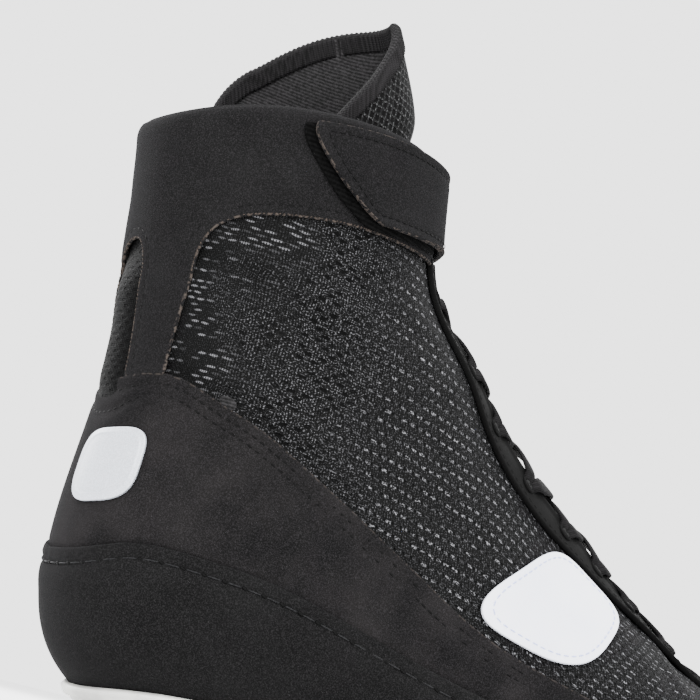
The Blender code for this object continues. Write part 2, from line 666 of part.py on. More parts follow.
def make_plate(plate, base, thickness, parts):
    """A plain rounded oblong with a softened edge, laid on the panel beneath it."""
    turn = np.linspace(0, 2 * np.pi, 16, endpoint=False)
    grid_ring, grid_turn = np.meshgrid(np.array([0, 0.5, 1.0]), turn, indexing="ij")
    cosine, sine = np.cos(grid_turn), np.sin(grid_turn)
    across = plate.around + plate.half_around * grid_ring * np.sign(cosine) * np.abs(cosine) ** 0.55
    upward = plate.along + plate.half_along * grid_ring * np.sign(sine) * np.abs(sine) ** 0.55
    low = wall(upward, across, base + 0 * upward)
    high = wall(upward, across, base + thickness * (1 - 0.3 * grid_ring**4))
    low[0], high[0] = low[0].mean(0), high[0].mean(0)
    return slab(plate.name, low, high, parts, closed=True)


def make_plates(parts):
    """Blank moulded badge behind the ankle on the lateral side, and a plain patch on each side."""
    make_plate(BADGE, SEAT + OVERLAY + LOOSE, BADGE_WALL, parts)
    for plate in PATCHES:
        make_plate(plate, LOOSE, PATCH_WALL, parts)


def finish(obj, colour, roughness):
    material = bpy.data.materials.new(obj.name)
    material.use_nodes = True
    shader = material.node_tree.nodes["Principled BSDF"]
    shader.inputs["Base Color"].default_value = (*colour, 1)
    shader.inputs["Roughness"].default_value = roughness
    shader.inputs["Metallic"].default_value = 0
    obj.data.materials.append(material)


def centre_on_floor(parts):
    """Puts the middle of the shoe's box, at floor level, on the origin."""
    bpy.context.view_layer.update()
    graph = bpy.context.evaluated_depsgraph_get()
    corners = np.array([v.co for obj in parts.objects for v in obj.evaluated_get(graph).data.vertices])
    low, high = corners.min(0), corners.max(0)
    for obj in bpy.data.objects:
        obj.location = (-(low[0] + high[0]) / 2, -(low[1] + high[1]) / 2, -low[2])


def main():
    for obj in list(bpy.data.objects):
        bpy.data.objects.remove(obj)
    parts = bpy.data.collections.new("wrestling_shoe")
    tools = bpy.data.collections.new("cutters")
    for collection in (parts, tools):
        bpy.context.scene.collection.children.link(collection)
    make_upper(parts, tools)
    make_wrap(parts, tools)
    make_counter(parts, tools)
    make_cuff(parts, tools)
    make_toe_cap(parts, tools)
    stays = [make_eyestay("eyestay_lateral", 1, parts), make_eyestay("eyestay_medial", -1, parts)]
    punch_eyelets(stays, tools)
    make_laces(parts, tools)
    make_tongue(parts)
    make_insole(parts)
    for pad in pads():
        make_pad(pad, parts)
    make_strap(parts)
    make_plates(parts)
    for tool in tools.objects:
        tool.hide_render = True
        tool.display_type = "WIRE"
    black, white = (0.012, 0.012, 0.014), (0.80, 0.81, 0.84)
    for obj in parts.objects:
        pale = obj.name.split("_")[0] in ("outsole", "heel", "patch")
        finish(obj, white if pale else black, 0.45 if pale else 0.85)
    centre_on_floor(parts)


main()
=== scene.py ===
"""Right wrestling shoe: knitted high-top, suede panels, crossed laces, ankle strap and two rubber pads.

Every panel is a surface worked out on a grid of places on the shoe's form. The form is a sock of flat
sections that fan out from the toe round the heel to the collar, as in the part's source. A place on it
is (along, around): along is 0 at the toe tip and 1 at the collar's rim, and around is 0 on the ridge,
0.25 on the lateral side, 0.5 on the sole or the back and 0.75 on the medial side.
"""

import bmesh
import bpy
import numpy as np
from mathutils import Matrix, Vector


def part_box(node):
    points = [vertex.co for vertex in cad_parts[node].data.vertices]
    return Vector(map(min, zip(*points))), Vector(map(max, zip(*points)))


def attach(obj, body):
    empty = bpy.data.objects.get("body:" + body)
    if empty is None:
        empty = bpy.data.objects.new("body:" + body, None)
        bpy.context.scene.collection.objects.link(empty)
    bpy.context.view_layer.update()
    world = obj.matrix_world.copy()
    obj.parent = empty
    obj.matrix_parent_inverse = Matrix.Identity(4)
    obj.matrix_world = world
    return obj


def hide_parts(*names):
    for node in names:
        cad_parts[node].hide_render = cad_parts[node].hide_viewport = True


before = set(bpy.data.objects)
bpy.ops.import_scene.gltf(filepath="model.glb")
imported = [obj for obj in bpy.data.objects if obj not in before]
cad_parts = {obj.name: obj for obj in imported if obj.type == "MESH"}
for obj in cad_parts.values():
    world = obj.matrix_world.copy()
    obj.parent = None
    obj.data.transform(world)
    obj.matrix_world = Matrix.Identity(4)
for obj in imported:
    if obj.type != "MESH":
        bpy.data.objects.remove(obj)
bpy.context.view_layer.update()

MM = 0.001

# Sizes of the form, as in the part's source
LENGTH = 284 * MM
BALL_WIDTH = 98 * MM
HEEL_WIDTH = 70 * MM
COLLAR_WIDTH = 63 * MM
COLLAR_LENGTH = 84 * MM
COLLAR_HEIGHT = 160 * MM
INSTEP_HEIGHT = 84 * MM
TOE_HEIGHT = 40 * MM
TOE_SWING = 9 * MM
TONGUE_RISE = 39 * MM

# Walls and layers, in millimetres out from the form
UPPER_WALL = 2.0
COLLAR_PADDING = 4.6
RIM_ROLL = 3.2
SEAT = 0.40
LOOSE = 0.65
OVERLAY = 1.1
WRAP_WALL = 2.0
PAD_THICKNESS = 4.2
INSOLE_THICKNESS = 4.0
TONGUE_WALL = 3.0
STRAP_WALL = 1.9
HOOK_WALL = 1.0
BADGE_WALL = 1.2
STAY_FILLER = 0.6
LACE_WIDTH = 6.4
LACE_WALL = 1.35

# Distance from the edge, in millimetres, that a piece without a cut edge is given
FAR_FROM_EDGE = 9.0

# Places of the openings, the eyestays and the strap
THROAT_START = 0.245
THROAT_HALF = 0.031
INSOLE_HALF = 0.180
EYESTAY_WIDTH = 0.040
LACE_ROWS = 9
STRAP_LOW = 0.927
STRAP_HIGH = 0.986
STRAP_TIP = 0.225
STRAP_WIDTH_TO_REACH = 0.22
HOOK_MARGIN = 0.009

# The rim: how far the sides rise over the back, the cuff's height as a share of the collar's, and the
# share of the form's travel that the roll takes
RIM_SWEEP = 0.016
CUFF_SHARE = 0.88
ROLL_SHARE = 0.045

# The raised line on a plate: its ring and how far it spreads, as shares of the plate's reach
BEAD_RING = 0.88
BEAD_SPREAD = 0.045

SECTION_NAMES = (
    "toe tip", "toe nose", "toe front", "toe cap", "toes", "ball", "ball back", "waist", "arch", "heel front",
    "heel floor", "heel curve", "heel back", "counter", "ankle", "achilles", "cuff", "rim", "tongue",
    "tongue top",
)


def section_numbers():
    """One row a section: base x and z, ridge x and z, lateral and medial half width, swing to the
    medial side, the height of the widest point as a share, and the powers of the lower and upper arcs."""
    l, b, h, c = LENGTH, BALL_WIDTH / 2, HEEL_WIDTH / 2, COLLAR_WIDTH / 2
    r, i, t = COLLAR_HEIGHT, INSTEP_HEIGHT, TOE_HEIGHT
    f, u, s = COLLAR_LENGTH, TONGUE_RISE, TOE_SWING
    rows = (
        (1.000 * l, 0.66 * t, 1.000 * l, 0.66 * t, 0, 0, s, 0.50, 2.0, 2.0),
        (0.986 * l, 0.43 * t, 0.984 * l, 0.89 * t, 0.36 * b, 0.34 * b, s, 0.45, 2.1, 2.0),
        (0.955 * l, 0.30 * t, 0.953 * l, 1.02 * t, 0.61 * b, 0.56 * b, 0.95 * s, 0.40, 2.2, 2.0),
        (0.895 * l, 0.20 * t, 0.893 * l, 1.13 * t, 0.86 * b, 0.78 * b, 0.72 * s, 0.36, 2.3, 2.0),
        (0.800 * l, 0.155 * t, 0.810 * l, 1.23 * t, 1.01 * b, 0.91 * b, 0.39 * s, 0.33, 2.4, 2.0),
        (0.700 * l, 0.150 * t, 0.735 * l, 0.615 * i, 1.05 * b, 0.93 * b, 0.06 * s, 0.32, 2.5, 2.0),
        (0.590 * l, 0.155 * t, 0.680 * l, 0.675 * i, 1.01 * b, 0.86 * b, -0.11 * s, 0.32, 2.5, 2.0),
        (0.460 * l, 0.190 * t, 0.625 * l, 0.790 * i, 0.90 * b, 0.755 * b, -0.11 * s, 0.34, 2.4, 2.0),
        (0.325 * l, 0.190 * t, 0.580 * l, 0.890 * i, 1.13 * h, 0.99 * h, 0, 0.36, 2.4, 2.0),
        (0.190 * l, 0.155 * t, 0.541 * l, 0.987 * i, 1.05 * h, 0.98 * h, 0, 0.38, 2.4, 2.0),
        (0.103 * l, 0.165 * t, 0.507 * l, 1.052 * i, 1.02 * h, 0.99 * h, 0, 0.40, 2.4, 2.1),
        (0.041 * l, 0.43 * t, 0.474 * l, 1.119 * i, 1.00 * h, 0.99 * h, 0, 0.40, 2.4, 2.2),
        (0.014 * l, 0.86 * t, 0.439 * l, 1.198 * i, 0.99 * h, 0.98 * h, 0, 0.40, 2.35, 2.25),
        (0.011 * l, 0.36 * r, 0.405 * l, 1.286 * i, 0.965 * h, 0.965 * h, 0, 0.42, 2.3, 2.3),
        (0.017 * l, 0.57 * r, 0.363 * l, 1.421 * i, 0.93 * h, 0.93 * h, 0, 0.46, 2.2, 2.3),
        (0.008 * l, 0.74 * r, 0.013 * l + f, 1.590 * i, 1.02 * c, 1.02 * c, 0, 0.49, 2.2, 2.2),
        (0.000 * l, CUFF_SHARE * r, -0.010 * l + f, 1.79 * i, 0.99 * c, 0.99 * c, 0, 0.5, 2.2, 2.2),
        (-0.015 * l, 0.985 * r, -0.022 * l + f, 2.02 * i, 0.97 * c, 0.97 * c, 0, 0.5, 2.2, 2.2),
        (-0.045 * l, r + 0.50 * u, -0.036 * l + f, r + 0.73 * u, 0.86 * c, 0.86 * c, 0, 0.5, 2.2, 2.2),
        (-0.070 * l, r + 1.00 * u, -0.074 * l + f, r + 1.26 * u, 0.80 * c, 0.80 * c, 0, 0.5, 2.2, 2.2),
    )
    return np.array(rows, float)


NUMBERS = section_numbers()


def section_places():
    """A section's place: the mean travel of base and ridge from the toe tip, over that up to the rim."""
    base = np.hypot(*np.diff(NUMBERS[:, 0:2], axis=0).T)
    top = np.hypot(*np.diff(NUMBERS[:, 2:4], axis=0).T)
    travel = np.concatenate([[0], np.cumsum((base + top) / 2)])
    return travel / travel[SECTION_NAMES.index("rim")]


KNOTS = section_places()
PLACE = dict(zip(SECTION_NAMES, KNOTS))


def natural_spline(knots, values, at):
    """Natural cubic spline through rows of values: in each gap, the straight line between its two rows
    less the cubic that its end bends give, where the bends solve the usual tridiagonal system."""
    gap = np.diff(knots)
    middle = np.concatenate([[1], 2 * (gap[:-1] + gap[1:]), [1]])
    before = np.concatenate([gap[:-1], [0]])
    after = np.concatenate([[0], gap[1:]])
    system = np.diag(middle) + np.diag(before, -1) + np.diag(after, 1)
    slope = np.diff(values, axis=0) / gap[:, None]
    right = np.zeros_like(values)
    right[1:-1] = 6 * np.diff(slope, axis=0)
    bend = np.linalg.solve(system, right)
    i = np.clip(np.searchsorted(knots, at, side="right") - 1, 0, len(knots) - 2)
    t, step = (at - knots[i])[:, None], gap[i][:, None]
    first, last = values[i], values[i + 1]
    straight = first + t * ((last - first) / step - step * (2 * bend[i] + bend[i + 1]) / 6)
    return straight + t**2 * bend[i] / 2 + t**3 * (bend[i + 1] - bend[i]) / (6 * step)


def smooth(value, low, high):
    """0 below low and 1 above high, and t squared times (3 - 2t) between."""
    t = np.clip((value - low) / (high - low), 0, 1)
    return t * t * (3 - 2 * t)


def form(along, around):
    """A point of the form. Each section is two half superellipses that meet at its widest line: height
    runs with the cosine and width with the sine of the turn, each to the power 2 over the section's."""
    along, around = np.broadcast_arrays(np.asarray(along, float), np.asarray(around, float))
    rows = natural_spline(KNOTS, NUMBERS, along.ravel())
    base_x, base_z, top_x, top_z, lateral, medial, swing, widest, base_power, top_power = rows.T
    angle = 2 * np.pi * around.ravel()
    low = np.cos(angle) < 0
    power = 2 / np.where(low, base_power, top_power)
    reach, spread = np.abs(np.cos(angle)) ** power, np.abs(np.sin(angle)) ** power
    height = np.where(low, widest * (1 - reach), widest + (1 - widest) * reach)
    side = np.where(np.sin(angle) > 0, -lateral, medial)
    x = base_x + height * (top_x - base_x)
    z = base_z + height * (top_z - base_z)
    return np.stack([x, swing + side * spread, z], -1).reshape(along.shape + (3,))


def outward(along, around, step=1e-3):
    """The form's unit normal, out of the shoe: the step lengthwise crossed with the step around."""
    along, around = np.broadcast_arrays(np.asarray(along, float), np.asarray(around, float))
    low = np.maximum(along - step, 2e-3)
    lengthwise = form(low + 2 * step, around) - form(low, around)
    crosswise = form(low + step, around + step) - form(low + step, around - step)
    normal = np.cross(lengthwise, crosswise)
    return normal / np.linalg.norm(normal, axis=-1, keepdims=True)


def roll(along):
    """Millimetres that the outer face turns inwards to the rim: a quarter round of the roll's radius."""
    start = 1 - 1.6 * RIM_ROLL * MM / (COLLAR_HEIGHT * (1 - CUFF_SHARE)) * (1 - PLACE["cuff"])
    t = np.clip((along - start) / (1 - start), 0, 1)
    return RIM_ROLL * (1 - np.sqrt(1 - t**2))


def lifted(along, around):
    """Raises places near the collar by a share of the squared sine, so the rim is highest at the sides."""
    return along + RIM_SWEEP * np.sin(2 * np.pi * around) ** 2 * smooth(along, PLACE["ankle"], 1)


def stations():
    """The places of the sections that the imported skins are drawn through."""
    toe = np.linspace(0, PLACE["toe cap"], 6) ** 1.35 / PLACE["toe cap"] ** 0.35
    foot = np.linspace(PLACE["toe cap"], PLACE["heel front"], 9)
    heel = np.linspace(PLACE["heel front"], PLACE["counter"], 8)
    shaft = np.linspace(PLACE["counter"], 1 - ROLL_SHARE, 6)
    rim = 1 - ROLL_SHARE * np.array([0.55, 0.22, 0.0])
    return np.concatenate([toe, foot[1:], heel[1:], shaft[1:], rim])


def frame_shift():
    """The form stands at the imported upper's place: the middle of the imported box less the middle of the
    same skin drawn here, in length and width. Both stand on the floor."""
    along, around = np.meshgrid(stations(), np.arange(22) / 22, indexing="ij")
    raised = lifted(along, around)
    skin = form(raised, around) - outward(raised, around) * (roll(along) * MM)[..., None]
    skin[0] = skin[0].mean(0)
    skin = skin.reshape(-1, 3)
    low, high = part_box("upper")
    shift = (np.array(low) + np.array(high) - skin.min(0) - skin.max(0)) / 2
    return np.array([shift[0], shift[1], 0.0])


SHIFT = frame_shift()


def layer(offset, turned=True):
    """The surface at an offset, in millimetres, out from the form, following the rolled rim if turned."""

    def surface(along, around):
        along, around = np.broadcast_arrays(np.asarray(along, float), np.asarray(around, float))
        raised = lifted(along, around)
        out = offset - (roll(along) if turned else 0)
        return form(raised, around) + outward(raised, around) * np.asarray(out * MM)[..., None] + SHIFT

    return surface


def padding(along):
    """Millimetres of wall inside the form: the knit's own wall, swelling to the padded collar."""
    return UPPER_WALL + (COLLAR_PADDING - UPPER_WALL) * smooth(along, PLACE["ankle"], 1)


RIM_CROSSING = 0.022


def collar_surface(along, around):
    """The collar panel's face. Up to 1 it is the layer over the knit, from there it crosses the rim in a
    low half round, and past the crossing it runs down the inside of the padding."""
    along, around = np.broadcast_arrays(np.asarray(along, float), np.asarray(around, float))
    outside = layer(SEAT + OVERLAY)(np.minimum(along, 1), around)
    down = np.clip(along - 1 - RIM_CROSSING, 0, None)
    inner_place = 1 - down
    raised = lifted(inner_place, around)
    normal = outward(raised, around)
    inside = form(raised, around) - normal * ((padding(inner_place) + 0.35) * MM)[..., None] + SHIFT
    t = np.clip((along - 1) / RIM_CROSSING, 0, 1)
    upward = form(lifted(1.0, around) + 0.01, around) - form(lifted(1.0, around), around)
    upward = upward / np.linalg.norm(upward, axis=-1, keepdims=True)
    share = ((1 - np.cos(np.pi * t)) / 2)[..., None]
    crown = upward * (0.4 * MM * np.sin(np.pi * t))[..., None]
    return outside * (1 - share) + inside * share + crown


def curve_through(table, count):
    """A smooth line through rows of points: a natural spline over the travel from row to row."""
    rows = np.array(table, float)
    travel = np.concatenate([[0], np.cumsum(np.hypot(*np.diff(rows, axis=0).T))])
    return natural_spline(travel, rows, np.linspace(0, travel[-1], count))


def side_line(rows, count=60):
    """A line in side view from rows of x over the length and z over the collar's height."""
    return curve_through(np.array(rows) * [LENGTH, COLLAR_HEIGHT], count)


WRAP_LINE = side_line((
    (-0.060, 0.240), (-0.005, 0.250), (0.027, 0.281), (0.076, 0.289), (0.155, 0.280), (0.239, 0.252),
    (0.331, 0.215), (0.450, 0.176), (0.600, 0.145), (0.780, 0.138), (0.920, 0.165), (1.060, 0.205),
))
COUNTER_LINE = side_line((
    (-0.060, 0.475), (-0.010, 0.492), (0.010, 0.546), (0.035, 0.564), (0.071, 0.542), (0.113, 0.515),
    (0.162, 0.477), (0.212, 0.438), (0.264, 0.396), (0.316, 0.354), (0.373, 0.307), (0.430, 0.272),
    (0.482, 0.250), (0.580, 0.208), (0.720, 0.120),
))
WINDOW_LINE = side_line((
    (0.034, 0.500), (0.033, 0.596), (0.031, 0.726), (0.032, 0.785), (0.041, 0.821), (0.064, 0.847),
    (0.101, 0.865), (0.155, 0.881), (0.206, 0.886), (0.258, 0.888), (0.380, 0.890),
))


def heel_window_outline():
    """The narrow window behind the ankle, seen from behind: upright sides under an arched top. The
    medial side stands further out, so that the net makes the shoe's outline there, as in the photo."""
    half, low, high = 0.083 * HEEL_WIDTH, 0.40 * COLLAR_HEIGHT, 0.785 * COLLAR_HEIGHT
    turn = np.linspace(0, np.pi, 25)
    medial = 1 + 0.75 * (1 + np.cos(turn)) / 2
    arch = np.stack([half * medial * np.cos(turn), high - 1.6 * half + 1.6 * half * np.sin(turn)], 1)
    return np.concatenate([[(-1.35 * half, low), (2.2 * half, low)], arch])


def below(line, floor=-30 * MM):
    """The outline of all that is under a side-view line."""
    return np.concatenate([line, [(line[-1, 0], floor), (line[0, 0], floor)]])


WRAP_REGION = below(WRAP_LINE)
COUNTER_REGION = below(COUNTER_LINE)
WINDOW_REGION = np.concatenate([
    WINDOW_LINE,
    [(1.2 * LENGTH, 0.99 * COLLAR_HEIGHT), (1.2 * LENGTH, -30 * MM), (WINDOW_LINE[0, 0], -30 * MM)],
])
HEEL_WINDOW = heel_window_outline()
CAP_LINE = curve_through((
    (0.760 * LENGTH, -0.20 * TOE_HEIGHT), (0.800 * LENGTH, 0.55 * TOE_HEIGHT),
    (0.870 * LENGTH, 0.95 * TOE_HEIGHT), (0.880 * LENGTH, 1.50 * TOE_HEIGHT),
), 24)
CAP_REGION = np.concatenate([CAP_LINE, [(1.2 * LENGTH, 1.5 * TOE_HEIGHT), (1.2 * LENGTH, -0.2 * TOE_HEIGHT)]])


def inside(points, outline):
    """Signed distance in millimetres from flat points to an outline, positive inside: the least distance
    to a side, with the sign from the number of sides that a ray to the right crosses."""
    shape = points.shape[:-1]
    p = points.reshape(-1, 2)
    start, end = outline, np.roll(outline, -1, axis=0)
    run = end - start
    to = p[:, None, :] - start[None]
    share = np.clip((to * run).sum(-1) / (run**2).sum(-1), 0, 1)
    gap = np.linalg.norm(to - share[..., None] * run, axis=-1).min(1)
    above, crossing = p[:, None, 1] > start[None, :, 1], p[:, None, 1] > end[None, :, 1]
    climb = np.where(run[:, 1] == 0, 1e-12, run[:, 1])
    reach = start[:, 0] + (p[:, None, 1] - start[:, 1]) * run[:, 0] / climb
    odd = ((above != crossing) & (p[:, None, 0] < reach)).sum(1) % 2
    return (np.where(odd, gap, -gap) / MM).reshape(shape)


def from_side(points):
    """Length and height of points, as in side view."""
    return (points - SHIFT)[..., [0, 2]]


def from_behind(points):
    """Width and height of points, as seen from behind."""
    return (points - SHIFT)[..., [1, 2]]


def throat_half(along, half=THROAT_HALF):
    """Half width of the throat: it opens as a square root from its end, and widens towards the ankle."""
    opening = np.sqrt(np.clip((along - THROAT_START) / 0.05, 0, 1))
    return half * opening * (1 + 0.55 * smooth(along, 0.35, 0.75))


GIRTH = 240.0


def from_throat(along, around, extra=0.0):
    """Millimetres from the throat's edge, positive outside the gap, by the share of the way around."""
    across = np.minimum(np.mod(around, 1), 1 - np.mod(around, 1))
    return (across - throat_half(along) - extra) * GIRTH + 40 * np.clip(THROAT_START - along, 0, None)


def keep_wrap(along, around, points):
    return inside(from_side(points), WRAP_REGION)


def keep_counter(along, around, points):
    side = from_side(points)
    return np.minimum(inside(side, COUNTER_REGION), 5.0 - inside(side, WRAP_REGION))


def keep_cuff(along, around, points):
    side, inner = from_side(points), along > 1
    gap = np.minimum(-inside(side, COUNTER_REGION), -inside(side, WINDOW_REGION))
    behind = np.where(side[..., 0] < 0.1 * LENGTH, -inside(from_behind(points), HEEL_WINDOW), 50.0)
    gap = np.minimum(gap, behind)
    gap = np.where(inner, 50.0, gap)
    return np.minimum(gap, from_throat(np.minimum(along, 1), around, 0.004))


def keep_cap(along, around, points):
    side = from_side(points)
    return np.minimum(inside(side, CAP_REGION), 5.0 - inside(side, WRAP_REGION))


def keep_knit(along, around, points):
    side = from_side(points)
    return np.minimum(from_throat(along, around), 8.0 - inside(side, WRAP_REGION))


def normals_of(surface, rows, columns, flip=False, step=8e-4):
    """Unit normals of a surface: its step down the rows crossed with its step across the columns."""
    rows = np.maximum(rows, 2e-3)
    low = np.maximum(rows - step, 1e-3)
    lengthwise = surface(rows + step, columns) - surface(low, columns)
    crosswise = surface(rows, columns + step) - surface(rows, columns - step)
    normal = np.cross(lengthwise, crosswise)
    normal /= np.maximum(np.linalg.norm(normal, axis=-1, keepdims=True), 1e-15)
    return -normal if flip else normal


def pulled_to_line(surface, keep, rows, columns, limit):
    """Moves places onto the line where the field is 0, by Newton steps straight down its slope."""
    h = 1e-4
    for _ in range(4):
        at = surface(rows, columns)
        value = keep(rows, columns, at)
        down, side = surface(rows + h, columns), surface(rows, columns + h)
        slope_rows = (keep(rows + h, columns, down) - value) / h
        slope_columns = (keep(rows, columns + h, side) - value) / h
        size_rows = np.linalg.norm(down - at, axis=-1) / h
        size_columns = np.linalg.norm(side - at, axis=-1) / h
        lean_rows, lean_columns = slope_rows / size_rows**2, slope_columns / size_columns**2
        steep = np.maximum(slope_rows * lean_rows + slope_columns * lean_columns, 1e-9)
        rows = rows - np.clip(value * lean_rows / steep, -limit[0], limit[0])
        columns = columns - np.clip(value * lean_columns / steep, -limit[1], limit[1])
    return rows, columns


def quads_of(index, flip):
    """Faces over a grid of vertex numbers, turned so that they face along the surface's normals."""
    quads = np.stack([index[:-1, :-1], index[1:, :-1], index[1:, 1:], index[:-1, 1:]], -1).reshape(-1, 4)
    return quads[:, ::-1] if flip else quads


def open_edges(faces, count):
    """The directed edges that only one face has."""
    edges = np.concatenate([faces[:, [0, 1]], faces[:, [1, 2]], faces[:, [2, 3]], faces[:, [3, 0]]])
    edges = edges[edges[:, 0] != edges[:, 1]]
    return edges[~np.isin(edges[:, 0] * count + edges[:, 1], edges[:, 1] * count + edges[:, 0])]


def shell(name, surface, rows, columns, thickness, keep=None, relief=None, closed=False, pole=False,
          flip=False, lip=0.35):
    """A closed panel. Its face is the surface over a grid, cut where the field keep falls below 0, with
    the vertices beside the cut pulled onto the line. Relief moves the face along its normals. The back
    lies a thickness behind it, and round the edge a quarter round of radius lip joins the two."""
    grid_rows, grid_columns = np.meshgrid(rows, columns, indexing="ij")
    index = np.arange(grid_rows.size).reshape(grid_rows.shape)
    if pole:
        index[0] = index[0, 0]
    if closed:
        index = np.hstack([index, index[:, :1]])
    quads = quads_of(index, flip)
    a, r = grid_rows.ravel().copy(), grid_columns.ravel().copy()
    if keep is not None:
        kept = (keep(a, r, surface(a, r))[quads] > 0).all(1)
        total = np.bincount(quads.ravel(), minlength=a.size)
        used = np.bincount(quads[kept].ravel(), minlength=a.size)
        rim = (used > 0) & (used < total)
        limit = (2.5 * np.abs(np.diff(rows)).max(), 2.5 * np.abs(np.diff(columns)).max())
        a[rim], r[rim] = pulled_to_line(surface, keep, a[rim], r[rim], limit)
        quads = quads[kept]
    face = surface(a, r)
    normal = normals_of(surface, a, r, flip)
    edge_gap = keep(a, r, face) if keep is not None else np.full(a.size, 20.0)
    if relief is not None:
        face = face + normal * (relief(a, r, face, edge_gap) * MM)[:, None]
    depth = (thickness(a, r) if callable(thickness) else np.full(a.size, float(thickness))) * MM
    back = face - normal * depth[:, None]

    edges = open_edges(quads, a.size)
    ahead = face[edges[:, 1]] - face[edges[:, 0]]
    sideways = np.cross(ahead, (normal[edges[:, 0]] + normal[edges[:, 1]]) / 2)
    away = np.zeros_like(face)
    np.add.at(away, edges[:, 0], sideways)
    np.add.at(away, edges[:, 1], sideways)
    away /= np.maximum(np.linalg.norm(away, axis=1, keepdims=True), 1e-12)
    brink = np.unique(edges)
    place_in_brink = np.zeros(a.size, int)
    place_in_brink[brink] = np.arange(brink.size)
    radius = np.minimum(lip * MM, depth[brink] * 0.48)[:, None]
    rings = [
        face[brink] + away[brink] * radius * np.sin(turn) - normal[brink] * radius * (1 - np.cos(turn))
        for turn in np.radians((30, 60, 90))
    ]
    rings.append(rings[-1] - normal[brink] * (depth[brink][:, None] - 2 * radius))
    points = np.concatenate([face, *rings, back])
    faces, kinds = [quads], [np.zeros(len(quads), int)]
    first, last = edges[:, 0], edges[:, 1]
    for ring in range(len(rings)):
        here = a.size + ring * brink.size
        next_first, next_last = here + place_in_brink[first], here + place_in_brink[last]
        if ring == 0:
            low_first, low_last = first, last
        else:
            low_first, low_last = next_first - brink.size, next_last - brink.size
        faces.append(np.stack([low_last, low_first, next_first, next_last], 1))
        kinds.append(np.full(len(edges), 2))
    base = a.size + len(rings) * brink.size
    faces.append(np.stack([next_last, next_first, base + first, base + last], 1))
    kinds.append(np.full(len(edges), 2))
    faces.append(base + quads[:, ::-1])
    kinds.append(np.ones(len(quads), int))
    gaps = np.concatenate([edge_gap, np.repeat(-0.2, brink.size * len(rings)), edge_gap])
    return solid(name, points, np.concatenate(faces), np.concatenate(kinds), gaps)


def solid(name, points, faces, kinds=None, gaps=None, cloth=None):
    """A mesh from vertex and face arrays. A face whose corners repeat becomes a triangle. Vertices that no
    face uses are dropped. Each vertex keeps its distance from the panel's edge and its cloth place."""
    used, faces = np.unique(faces, return_inverse=True)
    faces = faces.reshape(-1, 4)
    points = points[used]
    repeat = (faces == np.roll(faces, 1, axis=1)).any(1)
    order = np.concatenate([np.flatnonzero(~repeat), np.flatnonzero(repeat)])
    lists = faces[~repeat].tolist() + [list(dict.fromkeys(f)) for f in faces[repeat].tolist()]
    mesh = bpy.data.meshes.new(name)
    mesh.from_pydata(points.tolist(), [], lists)
    if kinds is not None:
        mesh.polygons.foreach_set("material_index", kinds[order].astype(np.int32))
    attribute = mesh.attributes.new("edge", "FLOAT", "POINT")
    distances = gaps[used] if gaps is not None else np.full(len(used), FAR_FROM_EDGE)
    attribute.data.foreach_set("value", distances.astype(np.float32))
    place = (cloth or cloth_place)(points) if not isinstance(cloth, np.ndarray) else cloth[used]
    corners = np.zeros(len(mesh.loops), np.int32)
    mesh.loops.foreach_get("vertex_index", corners)
    layer_uv = mesh.uv_layers.new(name="cloth")
    layer_uv.data.foreach_set("uv", place[corners].astype(np.float32).ravel())
    work = bmesh.new()
    work.from_mesh(mesh)
    bmesh.ops.remove_doubles(work, verts=work.verts, dist=2e-6)
    work.to_mesh(mesh)
    work.free()
    mesh.polygons.foreach_set("use_smooth", np.ones(len(mesh.polygons), bool))
    obj = bpy.data.objects.new(name, mesh)
    bpy.context.scene.collection.objects.link(obj)
    return obj


def cloth_place(points):
    """A place on the cloth, in millimetres, as the sheet lies before it is sewn round the foot. The
    first runs to the toe, and round the heel by width. The second runs up, over the top of the foot
    by width, and its courses droop forward by a gentle parabola, as the cloth was cut."""
    x, y, z = ((points - SHIFT) / MM).T
    heel = 1 - smooth(x, 6, 26)
    top = smooth(x, 110, 175)
    across = np.abs(y)
    droop = 0.5 * 0.0024 * np.clip(x - 20, 0, 150) ** 2
    return np.stack([x - heel * (31 - across), z + top * 0.8 * (47 - across) + droop], -1)


def finish(piece, materials, slot, *nodes):
    """Gives a piece its materials and its body, and hides the nodes that it stands for. The slot is not used.
    """
    for material in materials if isinstance(materials, (list, tuple)) else [materials]:
        piece.data.materials.append(material)
    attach(piece, "root")
    if nodes:
        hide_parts(*nodes)
    return piece


def evenly(path, normals, spacing, shift=0.5):
    """Points, normals and directions at even travel along a path: its running length is cut into whole
    spacings, and each coordinate is read between the path's points."""
    travel = np.concatenate([[0], np.cumsum(np.linalg.norm(np.diff(path, axis=0), axis=1))])
    count = max(int(travel[-1] / spacing), 1)
    at = (np.arange(count) + shift) * travel[-1] / count
    points = np.stack([np.interp(at, travel, c) for c in path.T], 1)
    facing = np.stack([np.interp(at, travel, c) for c in normals.T], 1)
    step = 0.3 * MM
    near = np.stack([np.interp(at + step, travel, c) - np.interp(at - step, travel, c) for c in path.T], 1)
    facing /= np.linalg.norm(facing, axis=1, keepdims=True)
    near /= np.maximum(np.linalg.norm(near, axis=1, keepdims=True), 1e-12)
    return points, facing, near


